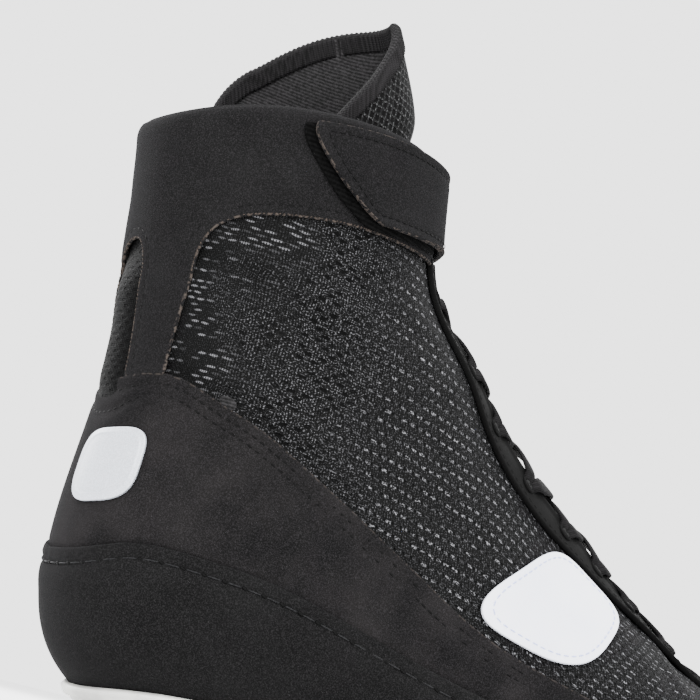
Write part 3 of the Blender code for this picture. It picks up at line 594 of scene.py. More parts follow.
def traced(surface, keep, level, rows, columns, order, window=9, ends=None, relief=None):
    """The line on a surface where a field has a level. Its crossings with the grid's lines are read by
    straight interpolation, moved by the face's relief, put in order by a key, and evened by a short
    running mean."""
    a, r = np.meshgrid(rows, columns, indexing="ij")
    value = keep(a, r, surface(a, r)) - level
    found = []
    for axis in (0, 1):
        low, high = (slice(None, -1), slice(1, None))
        first = (low, slice(None)) if axis == 0 else (slice(None), low)
        last = (high, slice(None)) if axis == 0 else (slice(None), high)
        hit = value[first] * value[last] < 0
        share = value[first][hit] / (value[first][hit] - value[last][hit])
        found.append(np.stack([
            a[first][hit] + share * (a[last][hit] - a[first][hit]),
            r[first][hit] + share * (r[last][hit] - r[first][hit]),
        ], 1))
    places = np.concatenate(found)
    points = surface(places[:, 0], places[:, 1])
    facing = normals_of(surface, places[:, 0], places[:, 1])
    key = order(points - SHIFT)
    if relief is not None:
        moved = relief(places[:, 0], places[:, 1], points, np.full(len(points), float(level)))
        points = points + facing * (moved * MM)[:, None]
    if ends is not None:
        within = (key > ends[0]) & (key < ends[1])
        points, facing, key = points[within], facing[within], key[within]
    rank = np.argsort(key)
    points, facing = points[rank], facing[rank]
    weight = np.ones(window) / window
    half = window // 2
    path = np.stack([np.convolve(c, weight, "valid") for c in points.T], 1)
    path = np.concatenate([points[:1], path, points[-1:]])
    facing = np.concatenate([facing[:1], facing[half:-half], facing[-1:]])
    return path, facing


def stitches(name, runs, length, radius, sink, slant=0.0, sides=6, arch=0.5):
    """Many short stitches in one mesh. A stitch is a spindle along its direction: its radius falls to
    nothing at both ends as the root of 1 less the fourth power, and it bows up in its middle."""
    points, facing, ahead = (np.concatenate([run[i] for run in runs]) for i in range(3))
    beside = np.cross(facing, ahead)
    ahead = ahead * np.cos(slant) + beside * np.sin(slant)
    beside = np.cross(facing, ahead)
    u = np.array([-1.0, -0.8, -0.35, 0.35, 0.8, 1.0])
    turn = 2 * np.pi * np.arange(sides) / sides
    girth = radius * np.sqrt(1 - u**4)
    rise = arch * radius * (1 - u**2) - sink
    along_u = (u * length / 2)[:, None] + 0 * turn
    up = rise[:, None] + girth[:, None] * np.cos(turn)
    out = girth[:, None] * np.sin(turn)
    shape = lambda part, vector: part[None, ..., None] * vector[:, None, None, :] * MM
    places = points[:, None, None, :] + shape(along_u, ahead) + shape(up, facing) + shape(out, beside)
    index = np.arange(u.size * sides).reshape(u.size, sides)
    index = np.hstack([index, index[:, :1]])
    one = quads_of(index, False)
    faces = (one[None] + (np.arange(len(points)) * u.size * sides)[:, None, None]).reshape(-1, 4)
    return solid(name, places.reshape(-1, 3), faces)


def closed_run(path, facing):
    """A loop's path with its first point repeated at the end."""
    return np.concatenate([path, path[:1]]), np.concatenate([facing, facing[:1]])


def band(path, facing, width, thickness, sides=14, power=3.0):
    """A flat strap or cord carried along a path. Its section is a superellipse of a width and thickness
    that may change along the path, with its flat side square to the path's normals."""
    ahead = np.gradient(path, axis=0)
    ahead /= np.linalg.norm(ahead, axis=1, keepdims=True)
    beside = np.cross(facing, ahead)
    beside /= np.linalg.norm(beside, axis=1, keepdims=True)
    up = np.cross(ahead, beside)
    turn = 2 * np.pi * np.arange(sides) / sides
    c, s = np.cos(turn), np.sin(turn)
    across = np.sign(c) * np.abs(c) ** (2 / power)
    rise = np.sign(s) * np.abs(s) ** (2 / power)
    width, thickness = np.broadcast_to(width, len(path)), np.broadcast_to(thickness, len(path))
    shrink = np.ones(len(path))
    shrink[[0, -1]] = 0.0
    half, tall = width * shrink * MM / 2, thickness * shrink * MM / 2
    return (
        path[:, None, :]
        + half[:, None, None] * across[None, :, None] * beside[:, None, :]
        + tall[:, None, None] * rise[None, :, None] * up[:, None, :]
    )


def linear(code):
    """An sRGB hex value as linear colour: each channel's usual sRGB curve undone."""
    channels = np.array([int(code[i : i + 2], 16) / 255 for i in (1, 3, 5)])
    flat = np.where(channels <= 0.04045, channels / 12.92, ((channels + 0.055) / 1.055) ** 2.4)
    return (*flat.tolist(), 1.0)


def node(tree, kind, links=None, **settings):
    """Adds a node, sets its settings, and fills its inputs by name or number: a socket is linked and
    anything else is set."""
    made = tree.nodes.new("ShaderNode" + kind)
    for key, value in settings.items():
        setattr(made, key, value)
    for key, value in (links or {}).items():
        if isinstance(value, bpy.types.NodeSocket):
            tree.links.new(value, made.inputs[key])
        else:
            made.inputs[key].default_value = value
    return made


def new_material(name):
    material = bpy.data.materials.new(name)
    material.use_nodes = True
    material.node_tree.nodes.clear()
    return material, material.node_tree


def outcome(tree, sockets, normal=None, **values):
    """Closes a material: one shader with its sockets linked or set, straight into the output."""
    shader = node(tree, "BsdfPrincipled", {**{k.replace("_", " "): v for k, v in values.items()}, **sockets})
    if normal is not None:
        tree.links.new(normal, shader.inputs["Normal"])
    node(tree, "OutputMaterial", {"Surface": shader.outputs[0]})


def microfibre_suede(name, dark, pale, speck, grain=0.34, nap=16.0, seams=(), fray=0.5):
    """Microfibre suede, cut from a napped roll: a very matt charcoal face with a fine pale bloom of
    fibre ends a third of a millimetre across, broad clouds where the nap lies another way, and a soft sheen.
    The cut edge shows a broken beige line of base cloth, and each seam row draws a shallow valley."""
    material, tree = new_material(name)
    place = node(tree, "TexCoord").outputs["Object"]
    gap = node(tree, "Attribute", attribute_name="edge").outputs["Fac"]
    clouds = {"Vector": place, "Scale": 1000 / nap, "Detail": 3.0, "Roughness": 0.55}
    cloud = node(tree, "TexNoise", clouds).outputs[0]
    lay = node(tree, "MapRange", {"Value": cloud, 1: 0.34, 2: 0.68}).outputs[0]
    base = node(tree, "Mix", {0: lay, 6: linear(dark), 7: linear(pale)}, data_type="RGBA").outputs[2]
    ends = {"Vector": place, "Scale": 1000 / grain, "Detail": 2.0, "Roughness": 0.7}
    fibre = node(tree, "TexNoise", ends).outputs[0]
    bloom = node(tree, "MapRange", {"Value": fibre, 1: 0.45, 2: 0.76, 4: 0.48}).outputs[0]
    dusted = node(tree, "Mix", {0: bloom, 6: base, 7: linear(speck)}, data_type="RGBA").outputs[2]
    cut = {"Value": gap, 1: 0.0, 2: 0.34, 3: fray, 4: 0.0}
    hair = node(tree, "MapRange", cut, interpolation_type="SMOOTHSTEP").outputs[0]
    tufts = node(tree, "TexNoise", {"Vector": place, "Scale": 1000 / 1.1, "Detail": 1.0}).outputs[0]
    tuft = node(tree, "MapRange", {"Value": tufts, 1: 0.48, 2: 0.60}).outputs[0]
    frayed = node(tree, "Math", {0: hair, 1: tuft}, operation="MULTIPLY").outputs[0]
    edged = node(tree, "Mix", {0: frayed, 6: dusted, 7: linear("#47403b")}, data_type="RGBA").outputs[2]
    height = node(tree, "Math", {0: fibre, 1: 0.25}, operation="MULTIPLY").outputs[0]
    for seam in seams:
        off = node(tree, "Math", {0: gap, 1: seam}, operation="SUBTRACT").outputs[0]
        square = node(tree, "Math", {0: off, 1: off}, operation="MULTIPLY").outputs[0]
        fall = node(tree, "Math", {0: square, 1: -1.6}, operation="MULTIPLY").outputs[0]
        bell = node(tree, "Math", {0: 2.718, 1: fall}, operation="POWER").outputs[0]
        height = node(tree, "Math", {0: bell, 1: -0.35, 2: height}, operation="MULTIPLY_ADD").outputs[0]
    bump = node(tree, "Bump", {"Height": height, "Strength": 0.8, "Distance": 0.6 * MM}).outputs[0]
    rough = node(tree, "MapRange", {"Value": cloud, 1: 0.3, 2: 0.7, 3: 0.80, 4: 0.93}).outputs[0]
    outcome(tree, {"Base Color": edged, "Roughness": rough}, bump, Sheen_Weight=0.012, Sheen_Roughness=0.5,
            Sheen_Tint=linear("#c4c4cc"), Specular_IOR_Level=0.02)
    return material


def jacquard_knit(name, ground, rib, glint, hole_row=1.5, hole_pitch=4.4, wale=0.78, course=0.52,
                  band_row=3.0, band_pitch=2.9):
    """Polyester jacquard mesh, knitted: fine upright ribs of dark filament with staggered rows of long
    holes. Behind the ankle bright filament fills some holes as short dashes. Over the ankle the holes
    lie open in cloth whose ribs glitter, and over the instep bright tufts and hollows alternate in
    bands 3 mm apart; the open holes and hollows are drawn near-black as painted shade. At the heel it is
    a plain dark net. The ribs are 0.78 mm apart, a little coarser than the real gauge, so that they show."""
    material, tree = new_material(name)
    cloth = node(tree, "UVMap", uv_map="cloth").outputs[0]
    drift = node(
        tree, "TexNoise", {"Vector": cloth, "Scale": 0.18, "Detail": 2.0}, noise_dimensions="2D").outputs[1]
    sway = node(
        tree, "VectorMath", {0: drift, 1: (0.8, 0.8, 0.0), 2: cloth}, operation="MULTIPLY_ADD").outputs[0]
    parts = node(tree, "SeparateXYZ", {0: sway})
    u, v = parts.outputs[0], parts.outputs[1]
    row_place = node(tree, "Math", {0: v, 1: 1 / hole_row}, operation="MULTIPLY").outputs[0]
    row = node(tree, "Math", {0: row_place}, operation="FLOOR").outputs[0]
    in_row = node(tree, "Math", {0: row_place}, operation="FRACT").outputs[0]
    shifted = node(tree, "Math", {0: row, 1: 0.5}, operation="MULTIPLY").outputs[0]
    step_place = node(
        tree, "Math", {0: u, 1: 1 / hole_pitch, 2: shifted}, operation="MULTIPLY_ADD").outputs[0]
    step = node(tree, "Math", {0: step_place}, operation="FLOOR").outputs[0]
    in_step = node(tree, "Math", {0: step_place}, operation="FRACT").outputs[0]
    cell = node(tree, "CombineXYZ", {0: step, 1: row}).outputs[0]
    chance = node(tree, "TexWhiteNoise", {"Vector": cell}, noise_dimensions="2D").outputs["Value"]
    from_middle = node(tree, "CombineXYZ", {0: in_step, 1: in_row}).outputs[0]
    centred = node(tree, "VectorMath", {0: from_middle, 1: (0.5, 0.5, 0.0)}, operation="SUBTRACT").outputs[0]
    size = (hole_pitch / 1.3, hole_row / 0.48, 0.0)
    scaled = node(tree, "VectorMath", {0: centred, 1: size}, operation="MULTIPLY").outputs[0]
    radius = node(tree, "VectorMath", {0: scaled}, operation="LENGTH").outputs["Value"]
    fall = {"Value": radius, 1: 0.65, 2: 1.15, 3: 1.0, 4: 0.0}
    hole_shade = node(tree, "MapRange", fall, interpolation_type="SMOOTHSTEP").outputs[0]
    flat = (hole_pitch / 1.8, hole_row / 0.32, 0.0)
    flattened = node(tree, "VectorMath", {0: centred, 1: flat}, operation="MULTIPLY").outputs[0]
    length = node(tree, "VectorMath", {0: flattened}, operation="LENGTH").outputs["Value"]
    thin = {"Value": length, 1: 0.60, 2: 1.15, 3: 1.0, 4: 0.0}
    stroke = node(tree, "MapRange", thin, interpolation_type="SMOOTHSTEP").outputs[0]
    band_place = node(tree, "Math", {0: v, 1: 1 / band_row}, operation="MULTIPLY").outputs[0]
    band_number = node(tree, "Math", {0: band_place}, operation="FLOOR").outputs[0]
    in_band = node(tree, "Math", {0: band_place}, operation="FRACT").outputs[0]
    from_line = node(tree, "Math", {0: in_band, 1: 0.5}, operation="SUBTRACT").outputs[0]
    off_line = node(tree, "Math", {0: from_line}, operation="ABSOLUTE").outputs[0]
    near_line = {"Value": off_line, 1: 0.05, 2: 0.18, 3: 1.0, 4: 0.0}
    on_line = node(tree, "MapRange", near_line, interpolation_type="SMOOTHSTEP").outputs[0]
    band_shift = node(tree, "Math", {0: band_number, 1: 0.37}, operation="MULTIPLY").outputs[0]
    band_step = node(
        tree, "Math", {0: u, 1: 1 / band_pitch, 2: band_shift}, operation="MULTIPLY_ADD").outputs[0]
    band_cell = node(tree, "Math", {0: band_step}, operation="ROUND").outputs[0]
    band_turn = node(tree, "Math", {0: band_step, 1: 2 * np.pi}, operation="MULTIPLY").outputs[0]
    band_wave = node(tree, "Math", {0: band_turn}, operation="COSINE").outputs[0]
    band_key = node(tree, "CombineXYZ", {0: band_cell, 1: band_number}).outputs[0]
    luck = node(tree, "TexWhiteNoise", {"Vector": band_key}, noise_dimensions="2D").outputs["Value"]
    brightness = node(tree, "MapRange", {"Value": luck, 1: 0.1, 2: 0.8, 3: 0.15, 4: 1.0}).outputs[0]
    crest = node(tree, "MapRange", {"Value": band_wave, 1: -0.70, 2: 0.10}).outputs[0]
    trough = node(tree, "MapRange", {"Value": band_wave, 1: -0.50, 2: -0.85}).outputs[0]
    crest_line = node(tree, "Math", {0: crest, 1: on_line}, operation="MULTIPLY").outputs[0]
    tufts = node(tree, "Math", {0: crest_line, 1: brightness}, operation="MULTIPLY").outputs[0]
    pit_shade = node(tree, "Math", {0: trough, 1: on_line}, operation="MULTIPLY").outputs[0]
    region = node(
        tree, "TexNoise", {"Vector": cloth, "Scale": 0.05, "Detail": 1.5}, noise_dimensions="2D").outputs[0]
    forward = node(tree, "Math", {0: region, 1: 45.0, 2: u}, operation="MULTIPLY_ADD").outputs[0]
    turned = node(
        tree, "MapRange", {"Value": forward, 1: 34.0, 2: 62.0}, interpolation_type="SMOOTHSTEP").outputs[0]
    instep = node(
        tree, "MapRange", {"Value": forward, 1: 72.0, 2: 96.0}, interpolation_type="SMOOTHSTEP").outputs[0]
    net = node(tree, "MapRange", {"Value": u, 1: -8.0, 2: -12.0}).outputs[0]
    rib_turn = node(tree, "Math", {0: u, 1: 2 * np.pi / wale}, operation="MULTIPLY").outputs[0]
    rib_wave = node(tree, "Math", {0: rib_turn}, operation="SINE").outputs[0]
    course_turn = node(tree, "Math", {0: v, 1: 2 * np.pi / course}, operation="MULTIPLY").outputs[0]
    course_wave = node(tree, "Math", {0: course_turn}, operation="SINE").outputs[0]
    weave = node(
        tree, "Math", {0: rib_wave, 1: course_wave, 2: rib_wave}, operation="MULTIPLY_ADD").outputs[0]
    ribbed = node(tree, "MapRange", {"Value": weave, 1: -1.2, 2: 1.6}).outputs[0]
    body = node(tree, "Mix", {0: ribbed, 6: linear(ground), 7: linear(rib)}, data_type="RGBA").outputs[2]
    stretch = (1 / 0.62, 1 / 0.40, 1.0)
    stretched = node(tree, "VectorMath", {0: sway, 1: stretch}, operation="MULTIPLY").outputs[0]
    fine = {"Vector": stretched, "Scale": 1.0, "Detail": 1.0, "Roughness": 0.6}
    sparks = node(tree, "TexNoise", fine, noise_dimensions="2D").outputs[0]
    spark = node(tree, "MapRange", {"Value": sparks, 1: 0.54, 2: 0.74}).outputs[0]
    on_rib = node(tree, "Math", {0: spark, 1: ribbed}, operation="MULTIPLY").outputs[0]
    lit_cloth = node(tree, "MapRange", {"Value": turned, 3: 0.10, 4: 0.75}).outputs[0]
    dulled = node(tree, "MapRange", {"Value": instep, 3: 1.0, 4: 0.42}).outputs[0]
    at_heel = node(tree, "MapRange", {"Value": net, 3: 1.0, 4: 0.3}).outputs[0]
    shade = node(tree, "Math", {0: dulled, 1: at_heel}, operation="MULTIPLY").outputs[0]
    cloth_glow = node(tree, "Math", {0: lit_cloth, 1: shade}, operation="MULTIPLY").outputs[0]
    even_glitter = node(tree, "Math", {0: on_rib, 1: cloth_glow}, operation="MULTIPLY").outputs[0]
    wide_spark = node(tree, "MapRange", {"Value": sparks, 1: 0.44, 2: 0.66}).outputs[0]
    tuft_spark = node(tree, "Math", {0: tufts, 1: wide_spark}, operation="MULTIPLY").outputs[0]
    band_glitter = node(tree, "Math", {0: tuft_spark, 1: instep}, operation="MULTIPLY").outputs[0]
    glitter = node(tree, "Math", {0: even_glitter, 1: band_glitter}, operation="MAXIMUM").outputs[0]
    filled = node(tree, "MapRange", {"Value": chance, 1: 0.35, 2: 0.75}).outputs[0]
    dash = node(tree, "Math", {0: stroke, 1: ribbed}, operation="MULTIPLY").outputs[0]
    off_heel = node(tree, "Math", {0: 1.0, 1: net}, operation="SUBTRACT").outputs[0]
    kept = node(tree, "Math", {0: filled, 1: off_heel}, operation="MULTIPLY").outputs[0]
    some = node(tree, "Math", {0: dash, 1: kept}, operation="MULTIPLY").outputs[0]
    behind = node(tree, "MapRange", {"Value": turned, 1: 0.0, 2: 0.7, 3: 0.9, 4: 0.0}).outputs[0]
    dashes = node(tree, "Math", {0: some, 1: behind}, operation="MULTIPLY").outputs[0]
    glints = node(tree, "Math", {0: glitter, 1: dashes}, operation="MAXIMUM").outputs[0]
    missing = node(tree, "MapRange", {"Value": chance, 1: 0.30, 2: 0.50, 3: 0.15, 4: 1.0}).outputs[0]
    some_hole = node(tree, "Math", {0: hole_shade, 1: missing}, operation="MULTIPLY").outputs[0]
    hole_turned = node(tree, "Math", {0: some_hole, 1: turned}, operation="MULTIPLY").outputs[0]
    behind_instep = node(tree, "Math", {0: 1.0, 1: instep}, operation="SUBTRACT").outputs[0]
    ankle_hole = node(tree, "Math", {0: hole_turned, 1: behind_instep}, operation="MULTIPLY").outputs[0]
    heel_hole = node(tree, "Math", {0: hole_shade, 1: net}, operation="MULTIPLY").outputs[0]
    instep_hole = node(tree, "Math", {0: pit_shade, 1: instep}, operation="MULTIPLY").outputs[0]
    two_holes = node(tree, "Math", {0: ankle_hole, 1: heel_hole}, operation="MAXIMUM").outputs[0]
    hole_depth_and_shade = node(tree, "Math", {0: two_holes, 1: instep_hole}, operation="MAXIMUM").outputs[0]
    lit = node(tree, "Mix", {0: glints, 6: body, 7: linear(glint)}, data_type="RGBA").outputs[2]
    darkened = node(tree, "Math", {0: net, 1: 0.6}, operation="MULTIPLY").outputs[0]
    netted = node(tree, "Mix", {0: darkened, 6: lit, 7: linear(ground)}, data_type="RGBA").outputs[2]
    # Painted shade: open holes and the instep's hollows are drawn near-black, darker than the lining behind
    # them.
    colour = node(tree, "Mix", {0: hole_depth_and_shade, 6: netted, 7: linear("#020202")}, data_type="RGBA").outputs[2]
    high = node(tree, "Math", {0: weave, 1: 0.10}, operation="MULTIPLY").outputs[0]
    height = node(tree, "Math", {0: hole_depth_and_shade, 1: -0.8, 2: high}, operation="MULTIPLY_ADD").outputs[0]
    bump = node(tree, "Bump", {"Height": height, "Strength": 0.9, "Distance": 0.5 * MM}).outputs[0]
    outcome(tree, {"Base Color": colour}, bump, Roughness=0.62, Specular_IOR_Level=0.03,
            Sheen_Weight=0.01, Sheen_Roughness=0.4, Sheen_Tint=linear("#9a9da4"))
    return material


def waffle_mesh(name, ground, rib, glint, cell=1.9):
    """Waffle knit: square cells about two millimetres wide, each a pit inside raised bars, each pit painted
    darker as painted shade, with painted glints of bright filament on the bars."""
    material, tree = new_material(name)
    cloth = node(tree, "UVMap", uv_map="cloth").outputs[0]
    parts = node(tree, "SeparateXYZ", {0: cloth})
    waves = []
    for side, size in ((0, cell), (1, cell * 1.15)):
        angle = node(
            tree, "Math", {0: parts.outputs[side], 1: 2 * np.pi / size}, operation="MULTIPLY").outputs[0]
        waves.append(node(tree, "Math", {0: angle}, operation="COSINE").outputs[0])
    peak = node(tree, "Math", {0: waves[0], 1: waves[1]}, operation="MAXIMUM").outputs[0]
    bar = node(tree, "MapRange", {"Value": peak, 1: 0.1, 2: 0.95}, interpolation_type="SMOOTHSTEP").outputs[0]
    # Painted shade: each pit takes the darker colour and the raised bars the lighter one.
    body = node(tree, "Mix", {0: bar, 6: linear(ground), 7: linear(rib)}, data_type="RGBA").outputs[2]
    fine = node(
        tree, "TexNoise", {"Vector": cloth, "Scale": 1.9, "Detail": 1.0}, noise_dimensions="2D").outputs[0]
    spark = node(tree, "MapRange", {"Value": fine, 1: 0.56, 2: 0.74, 4: 0.8}).outputs[0]
    glints = node(tree, "Math", {0: spark, 1: bar}, operation="MULTIPLY").outputs[0]
    colour = node(tree, "Mix", {0: glints, 6: body, 7: linear(glint)}, data_type="RGBA").outputs[2]
    bump = node(tree, "Bump", {"Height": bar, "Strength": 0.9, "Distance": 0.45 * MM}).outputs[0]
    outcome(tree, {"Base Color": colour}, bump, Roughness=0.7, Specular_IOR_Level=0.03,
            Sheen_Weight=0.01, Sheen_Roughness=0.4, Sheen_Tint=linear("#9a9da4"))
    return material


def tricot_lining(name, dark, pale, pitch=0.9):
    """Brushed tricot lining: a plain dark cloth with a fine rib 0.9 mm apart and a faint fuzz."""
    material, tree = new_material(name)
    cloth = node(tree, "UVMap", uv_map="cloth").outputs[0]
    parts = node(tree, "SeparateXYZ", {0: cloth})
    angle = node(tree, "Math", {0: parts.outputs[1], 1: 2 * np.pi / pitch}, operation="MULTIPLY").outputs[0]
    rib = node(tree, "Math", {0: angle}, operation="SINE").outputs[0]
    place = node(tree, "TexCoord").outputs["Object"]
    fuzz = node(tree, "TexNoise", {"Vector": place, "Scale": 1000 / 0.8, "Detail": 2.0}).outputs[0]
    tone = node(tree, "Math", {0: rib, 1: 0.18, 2: fuzz}, operation="MULTIPLY_ADD").outputs[0]
    mixed = node(tree, "MapRange", {"Value": tone, 1: 0.3, 2: 0.8}).outputs[0]
    colour = node(tree, "Mix", {0: mixed, 6: linear(dark), 7: linear(pale)}, data_type="RGBA").outputs[2]
    bump = node(tree, "Bump", {"Height": tone, "Strength": 0.5, "Distance": 0.25 * MM}).outputs[0]
    outcome(tree, {"Base Color": colour}, bump, Roughness=0.92, Specular_IOR_Level=0.02,
            Sheen_Weight=0.01, Sheen_Roughness=0.5, Sheen_Tint=linear("#8d8d92"))
    return material


def woven_webbing(name, dark, pale, pitch=0.8):
    """Flat lace webbing, woven: crossed diagonal yarns 0.8 mm apart that give a soft herringbone."""
    material, tree = new_material(name)
    place = node(tree, "TexCoord").outputs["Object"]
    parts = node(tree, "SeparateXYZ", {0: place})
    sum_one = node(tree, "Math", {0: parts.outputs[1], 1: parts.outputs[2]}, operation="ADD").outputs[0]
    sum_two = node(tree, "Math", {0: parts.outputs[1], 1: parts.outputs[2]}, operation="SUBTRACT").outputs[0]
    waves = []
    for part in (sum_one, sum_two):
        angle = node(
            tree, "Math", {0: part, 1: 2 * np.pi * 1000 / pitch / 1.4}, operation="MULTIPLY").outputs[0]
        waves.append(node(tree, "Math", {0: angle}, operation="SINE").outputs[0])
    both = node(tree, "Math", {0: waves[0], 1: waves[1]}, operation="MULTIPLY").outputs[0]
    tone = node(tree, "MapRange", {"Value": both, 1: -1.0, 2: 1.0}).outputs[0]
    colour = node(tree, "Mix", {0: tone, 6: linear(dark), 7: linear(pale)}, data_type="RGBA").outputs[2]
    bump = node(tree, "Bump", {"Height": tone, "Strength": 0.6, "Distance": 0.2 * MM}).outputs[0]
    outcome(tree, {"Base Color": colour}, bump, Roughness=0.72, Specular_IOR_Level=0.04)
    return material


def spun_thread(name, colour, shade):
    """Spun polyester thread: a round twisted strand whose twist is too fine to show, drawn as a faint
    mottle half a millimetre long, satin and a little brighter than the cloth."""
    material, tree = new_material(name)
    place = node(tree, "TexCoord").outputs["Object"]
    twist = node(tree, "TexNoise", {"Vector": place, "Scale": 1000 / 0.5, "Detail": 1.0}).outputs[0]
    tone = node(tree, "MapRange", {"Value": twist, 1: 0.35, 2: 0.65}).outputs[0]
    mixed = node(tree, "Mix", {0: tone, 6: linear(shade), 7: linear(colour)}, data_type="RGBA").outputs[2]
    outcome(tree, {"Base Color": mixed}, None, Roughness=0.6, Specular_IOR_Level=0.06)
    return material


def coated_synthetic(name, colour, shade, roughness, grain=0.8, depth=0.06, gloss=0.05):
    """Coated synthetic leather, embossed: a smooth even coat with a faint pebble 0.8 mm across."""
    material, tree = new_material(name)
    place = node(tree, "TexCoord").outputs["Object"]
    pebble = node(tree, "TexVoronoi", {"Vector": place, "Scale": 1000 / grain}).outputs["Distance"]
    soft = node(tree, "TexNoise", {"Vector": place, "Scale": 1000 / 22, "Detail": 2.0}).outputs[0]
    tone = node(tree, "MapRange", {"Value": soft, 1: 0.35, 2: 0.65}).outputs[0]
    mixed = node(tree, "Mix", {0: tone, 6: linear(shade), 7: linear(colour)}, data_type="RGBA").outputs[2]
    rough = node(
        tree, "MapRange",
        {"Value": soft, 1: 0.3, 2: 0.7, 3: roughness - 0.05, 4: roughness + 0.06}).outputs[0]
    bump = node(tree, "Bump", {"Height": pebble, "Strength": 0.5, "Distance": depth * MM}).outputs[0]
    outcome(tree, {"Base Color": mixed, "Roughness": rough}, bump, Specular_IOR_Level=gloss)
    return material


def cast_rubber(name, colour, shade):
    """Translucent gum rubber, moulded: milky off-white with a satin face, light that spreads a few
    millimetres inside, and a faint greyish cloud where it is thinner."""
    material, tree = new_material(name)
    place = node(tree, "TexCoord").outputs["Object"]
    cloud = node(tree, "TexNoise", {"Vector": place, "Scale": 1000 / 9, "Detail": 2.0}).outputs[0]
    tone = node(tree, "MapRange", {"Value": cloud, 1: 0.35, 2: 0.65}).outputs[0]
    mixed = node(tree, "Mix", {0: tone, 6: linear(shade), 7: linear(colour)}, data_type="RGBA").outputs[2]
    fine = node(tree, "TexNoise", {"Vector": place, "Scale": 1000 / 0.7, "Detail": 1.0}).outputs[0]
    bump = node(tree, "Bump", {"Height": fine, "Strength": 0.25, "Distance": 0.08 * MM}).outputs[0]
    outcome(tree, {"Base Color": mixed}, bump, Roughness=0.38, IOR=1.52, Subsurface_Weight=0.25,
            Subsurface_Scale=0.004, Subsurface_Radius=(1.0, 0.95, 0.9))
    return material


def moulded_plate(name, colour, shade):
    """Thermoplastic badge, moulded and sprayed with silver-white lacquer: fine metal flake under a
    satin face gives a cool, slightly metallic white."""
    material, tree = new_material(name)
    place = node(tree, "TexCoord").outputs["Object"]
    flake = node(tree, "TexNoise", {"Vector": place, "Scale": 1000 / 0.35, "Detail": 1.0}).outputs[0]
    tone = node(tree, "MapRange", {"Value": flake, 1: 0.35, 2: 0.65}).outputs[0]
    mixed = node(tree, "Mix", {0: tone, 6: linear(shade), 7: linear(colour)}, data_type="RGBA").outputs[2]
    bump = node(tree, "Bump", {"Height": flake, "Strength": 0.2, "Distance": 0.04 * MM}).outputs[0]
    outcome(tree, {"Base Color": mixed}, bump, Roughness=0.36, Metallic=0.25, IOR=1.5)
    return material


def painted_floor(name, colour):
    """Studio sweep, rolled matt paint: an even pale face with no grain that shows at this distance."""
    material, tree = new_material(name)
    place = node(tree, "TexCoord").outputs["Object"]
    mottle = node(tree, "TexNoise", {"Vector": place, "Scale": 2.0, "Detail": 1.0}).outputs[0]
    tone = node(tree, "MapRange", {"Value": mottle, 1: 0.0, 2: 1.0}).outputs[0]
    mixed = node(tree, "Mix", {0: tone, 6: linear(colour), 7: linear(colour)}, data_type="RGBA").outputs[2]
    outcome(tree, {"Base Color": mixed}, None, Roughness=0.9)
    return material


def set_camera():
    """The photo's view: from the lateral side behind the heel, close to the floor, looking up a little,
    rolled so that the shoe leans forward in the picture. The heel is 600 mm from the lens."""
    azimuth, tilt, distance, height = np.radians(28), np.radians(14), 600.0, 6.0
    target = np.array([59.5, -20.0, 112.0])
    level = np.sqrt(distance**2 - (target[2] - height) ** 2)
    eye = np.array([target[0] - np.sin(azimuth) * level, target[1] - np.cos(azimuth) * level, height])
    pitch = np.arctan2(target[2] - height, level)
    ahead = np.array([np.sin(azimuth) * np.cos(pitch), np.cos(azimuth) * np.cos(pitch), np.sin(pitch)])
    right = np.array([np.cos(azimuth), -np.sin(azimuth), 0.0])
    up = np.cross(right, ahead)
    picture_right = np.cos(tilt) * right + np.sin(tilt) * up
    picture_up = np.cos(tilt) * up - np.sin(tilt) * right
    camera = bpy.data.cameras.new("photo_camera")
    camera.sensor_width = 36.0
    camera.lens = 36.0 * 2250 / 700
    camera.clip_start, camera.clip_end = 0.02, 50
    obj = bpy.data.objects.new("photo_camera", camera)
    bpy.context.scene.collection.objects.link(obj)
    turn = Matrix(np.stack([picture_right, picture_up, -ahead], 1).tolist()).to_4x4()
    obj.matrix_world = Matrix.Translation(Vector((eye * MM + SHIFT).tolist())) @ turn
    bpy.context.scene.camera = obj


def set_light():
    """Soft studio light: a bright even surround, a large soft source above the camera's left, a smaller
    one ahead on the right, and a strip behind that draws the collar's edge."""
    world = bpy.data.worlds.new("studio")
    world.use_nodes = True
    world.node_tree.nodes["Background"].inputs["Color"].default_value = linear("#ffffff")
    world.node_tree.nodes["Background"].inputs["Strength"].default_value = 3.0
    bpy.context.scene.world = world
    rows = (
        ("key", (-0.75, -0.95, 0.75), 0.9, 0.9, 36.0),
        ("fill", (0.75, -0.75, 0.45), 0.8, 0.8, 6.0),
        ("top", (0.0, 0.1, 1.2), 1.0, 1.0, 22.0),
        ("strip", (-0.5, 0.9, 0.7), 0.4, 1.0, 16.0),
    )
    for name, place, width, height, power in rows:
        light = bpy.data.lights.new(name, "AREA")
        light.shape = "RECTANGLE"
        light.size, light.size_y, light.energy = width, height, power
        obj = bpy.data.objects.new(name, light)
        bpy.context.scene.collection.objects.link(obj)
        aim = Vector((0, 0, 0.08)) - Vector(place)
        obj.matrix_world = Matrix.Translation(place) @ aim.to_track_quat("-Z", "Y").to_matrix().to_4x4()


def set_floor(material):
    """A pale level floor: a disc of rings, each wider than the last by one ratio, as far as 60 metres."""
    ring = np.concatenate([[0.0], np.geomspace(0.2, 60.0, 12)])
    turn = np.linspace(0, 2 * np.pi, 48, endpoint=False)
    r, t = np.meshgrid(ring, turn, indexing="ij")
    points = np.stack([r * np.cos(t), r * np.sin(t), 0 * r], -1)
    index = np.arange(r.size).reshape(r.shape)
    index[0] = index[0, 0]
    index = np.hstack([index, index[:, :1]])
    floor = solid("studio_floor", points.reshape(-1, 3), quads_of(index, False), cloth=lambda p: p[:, :2])
    floor.data.materials.append(material)


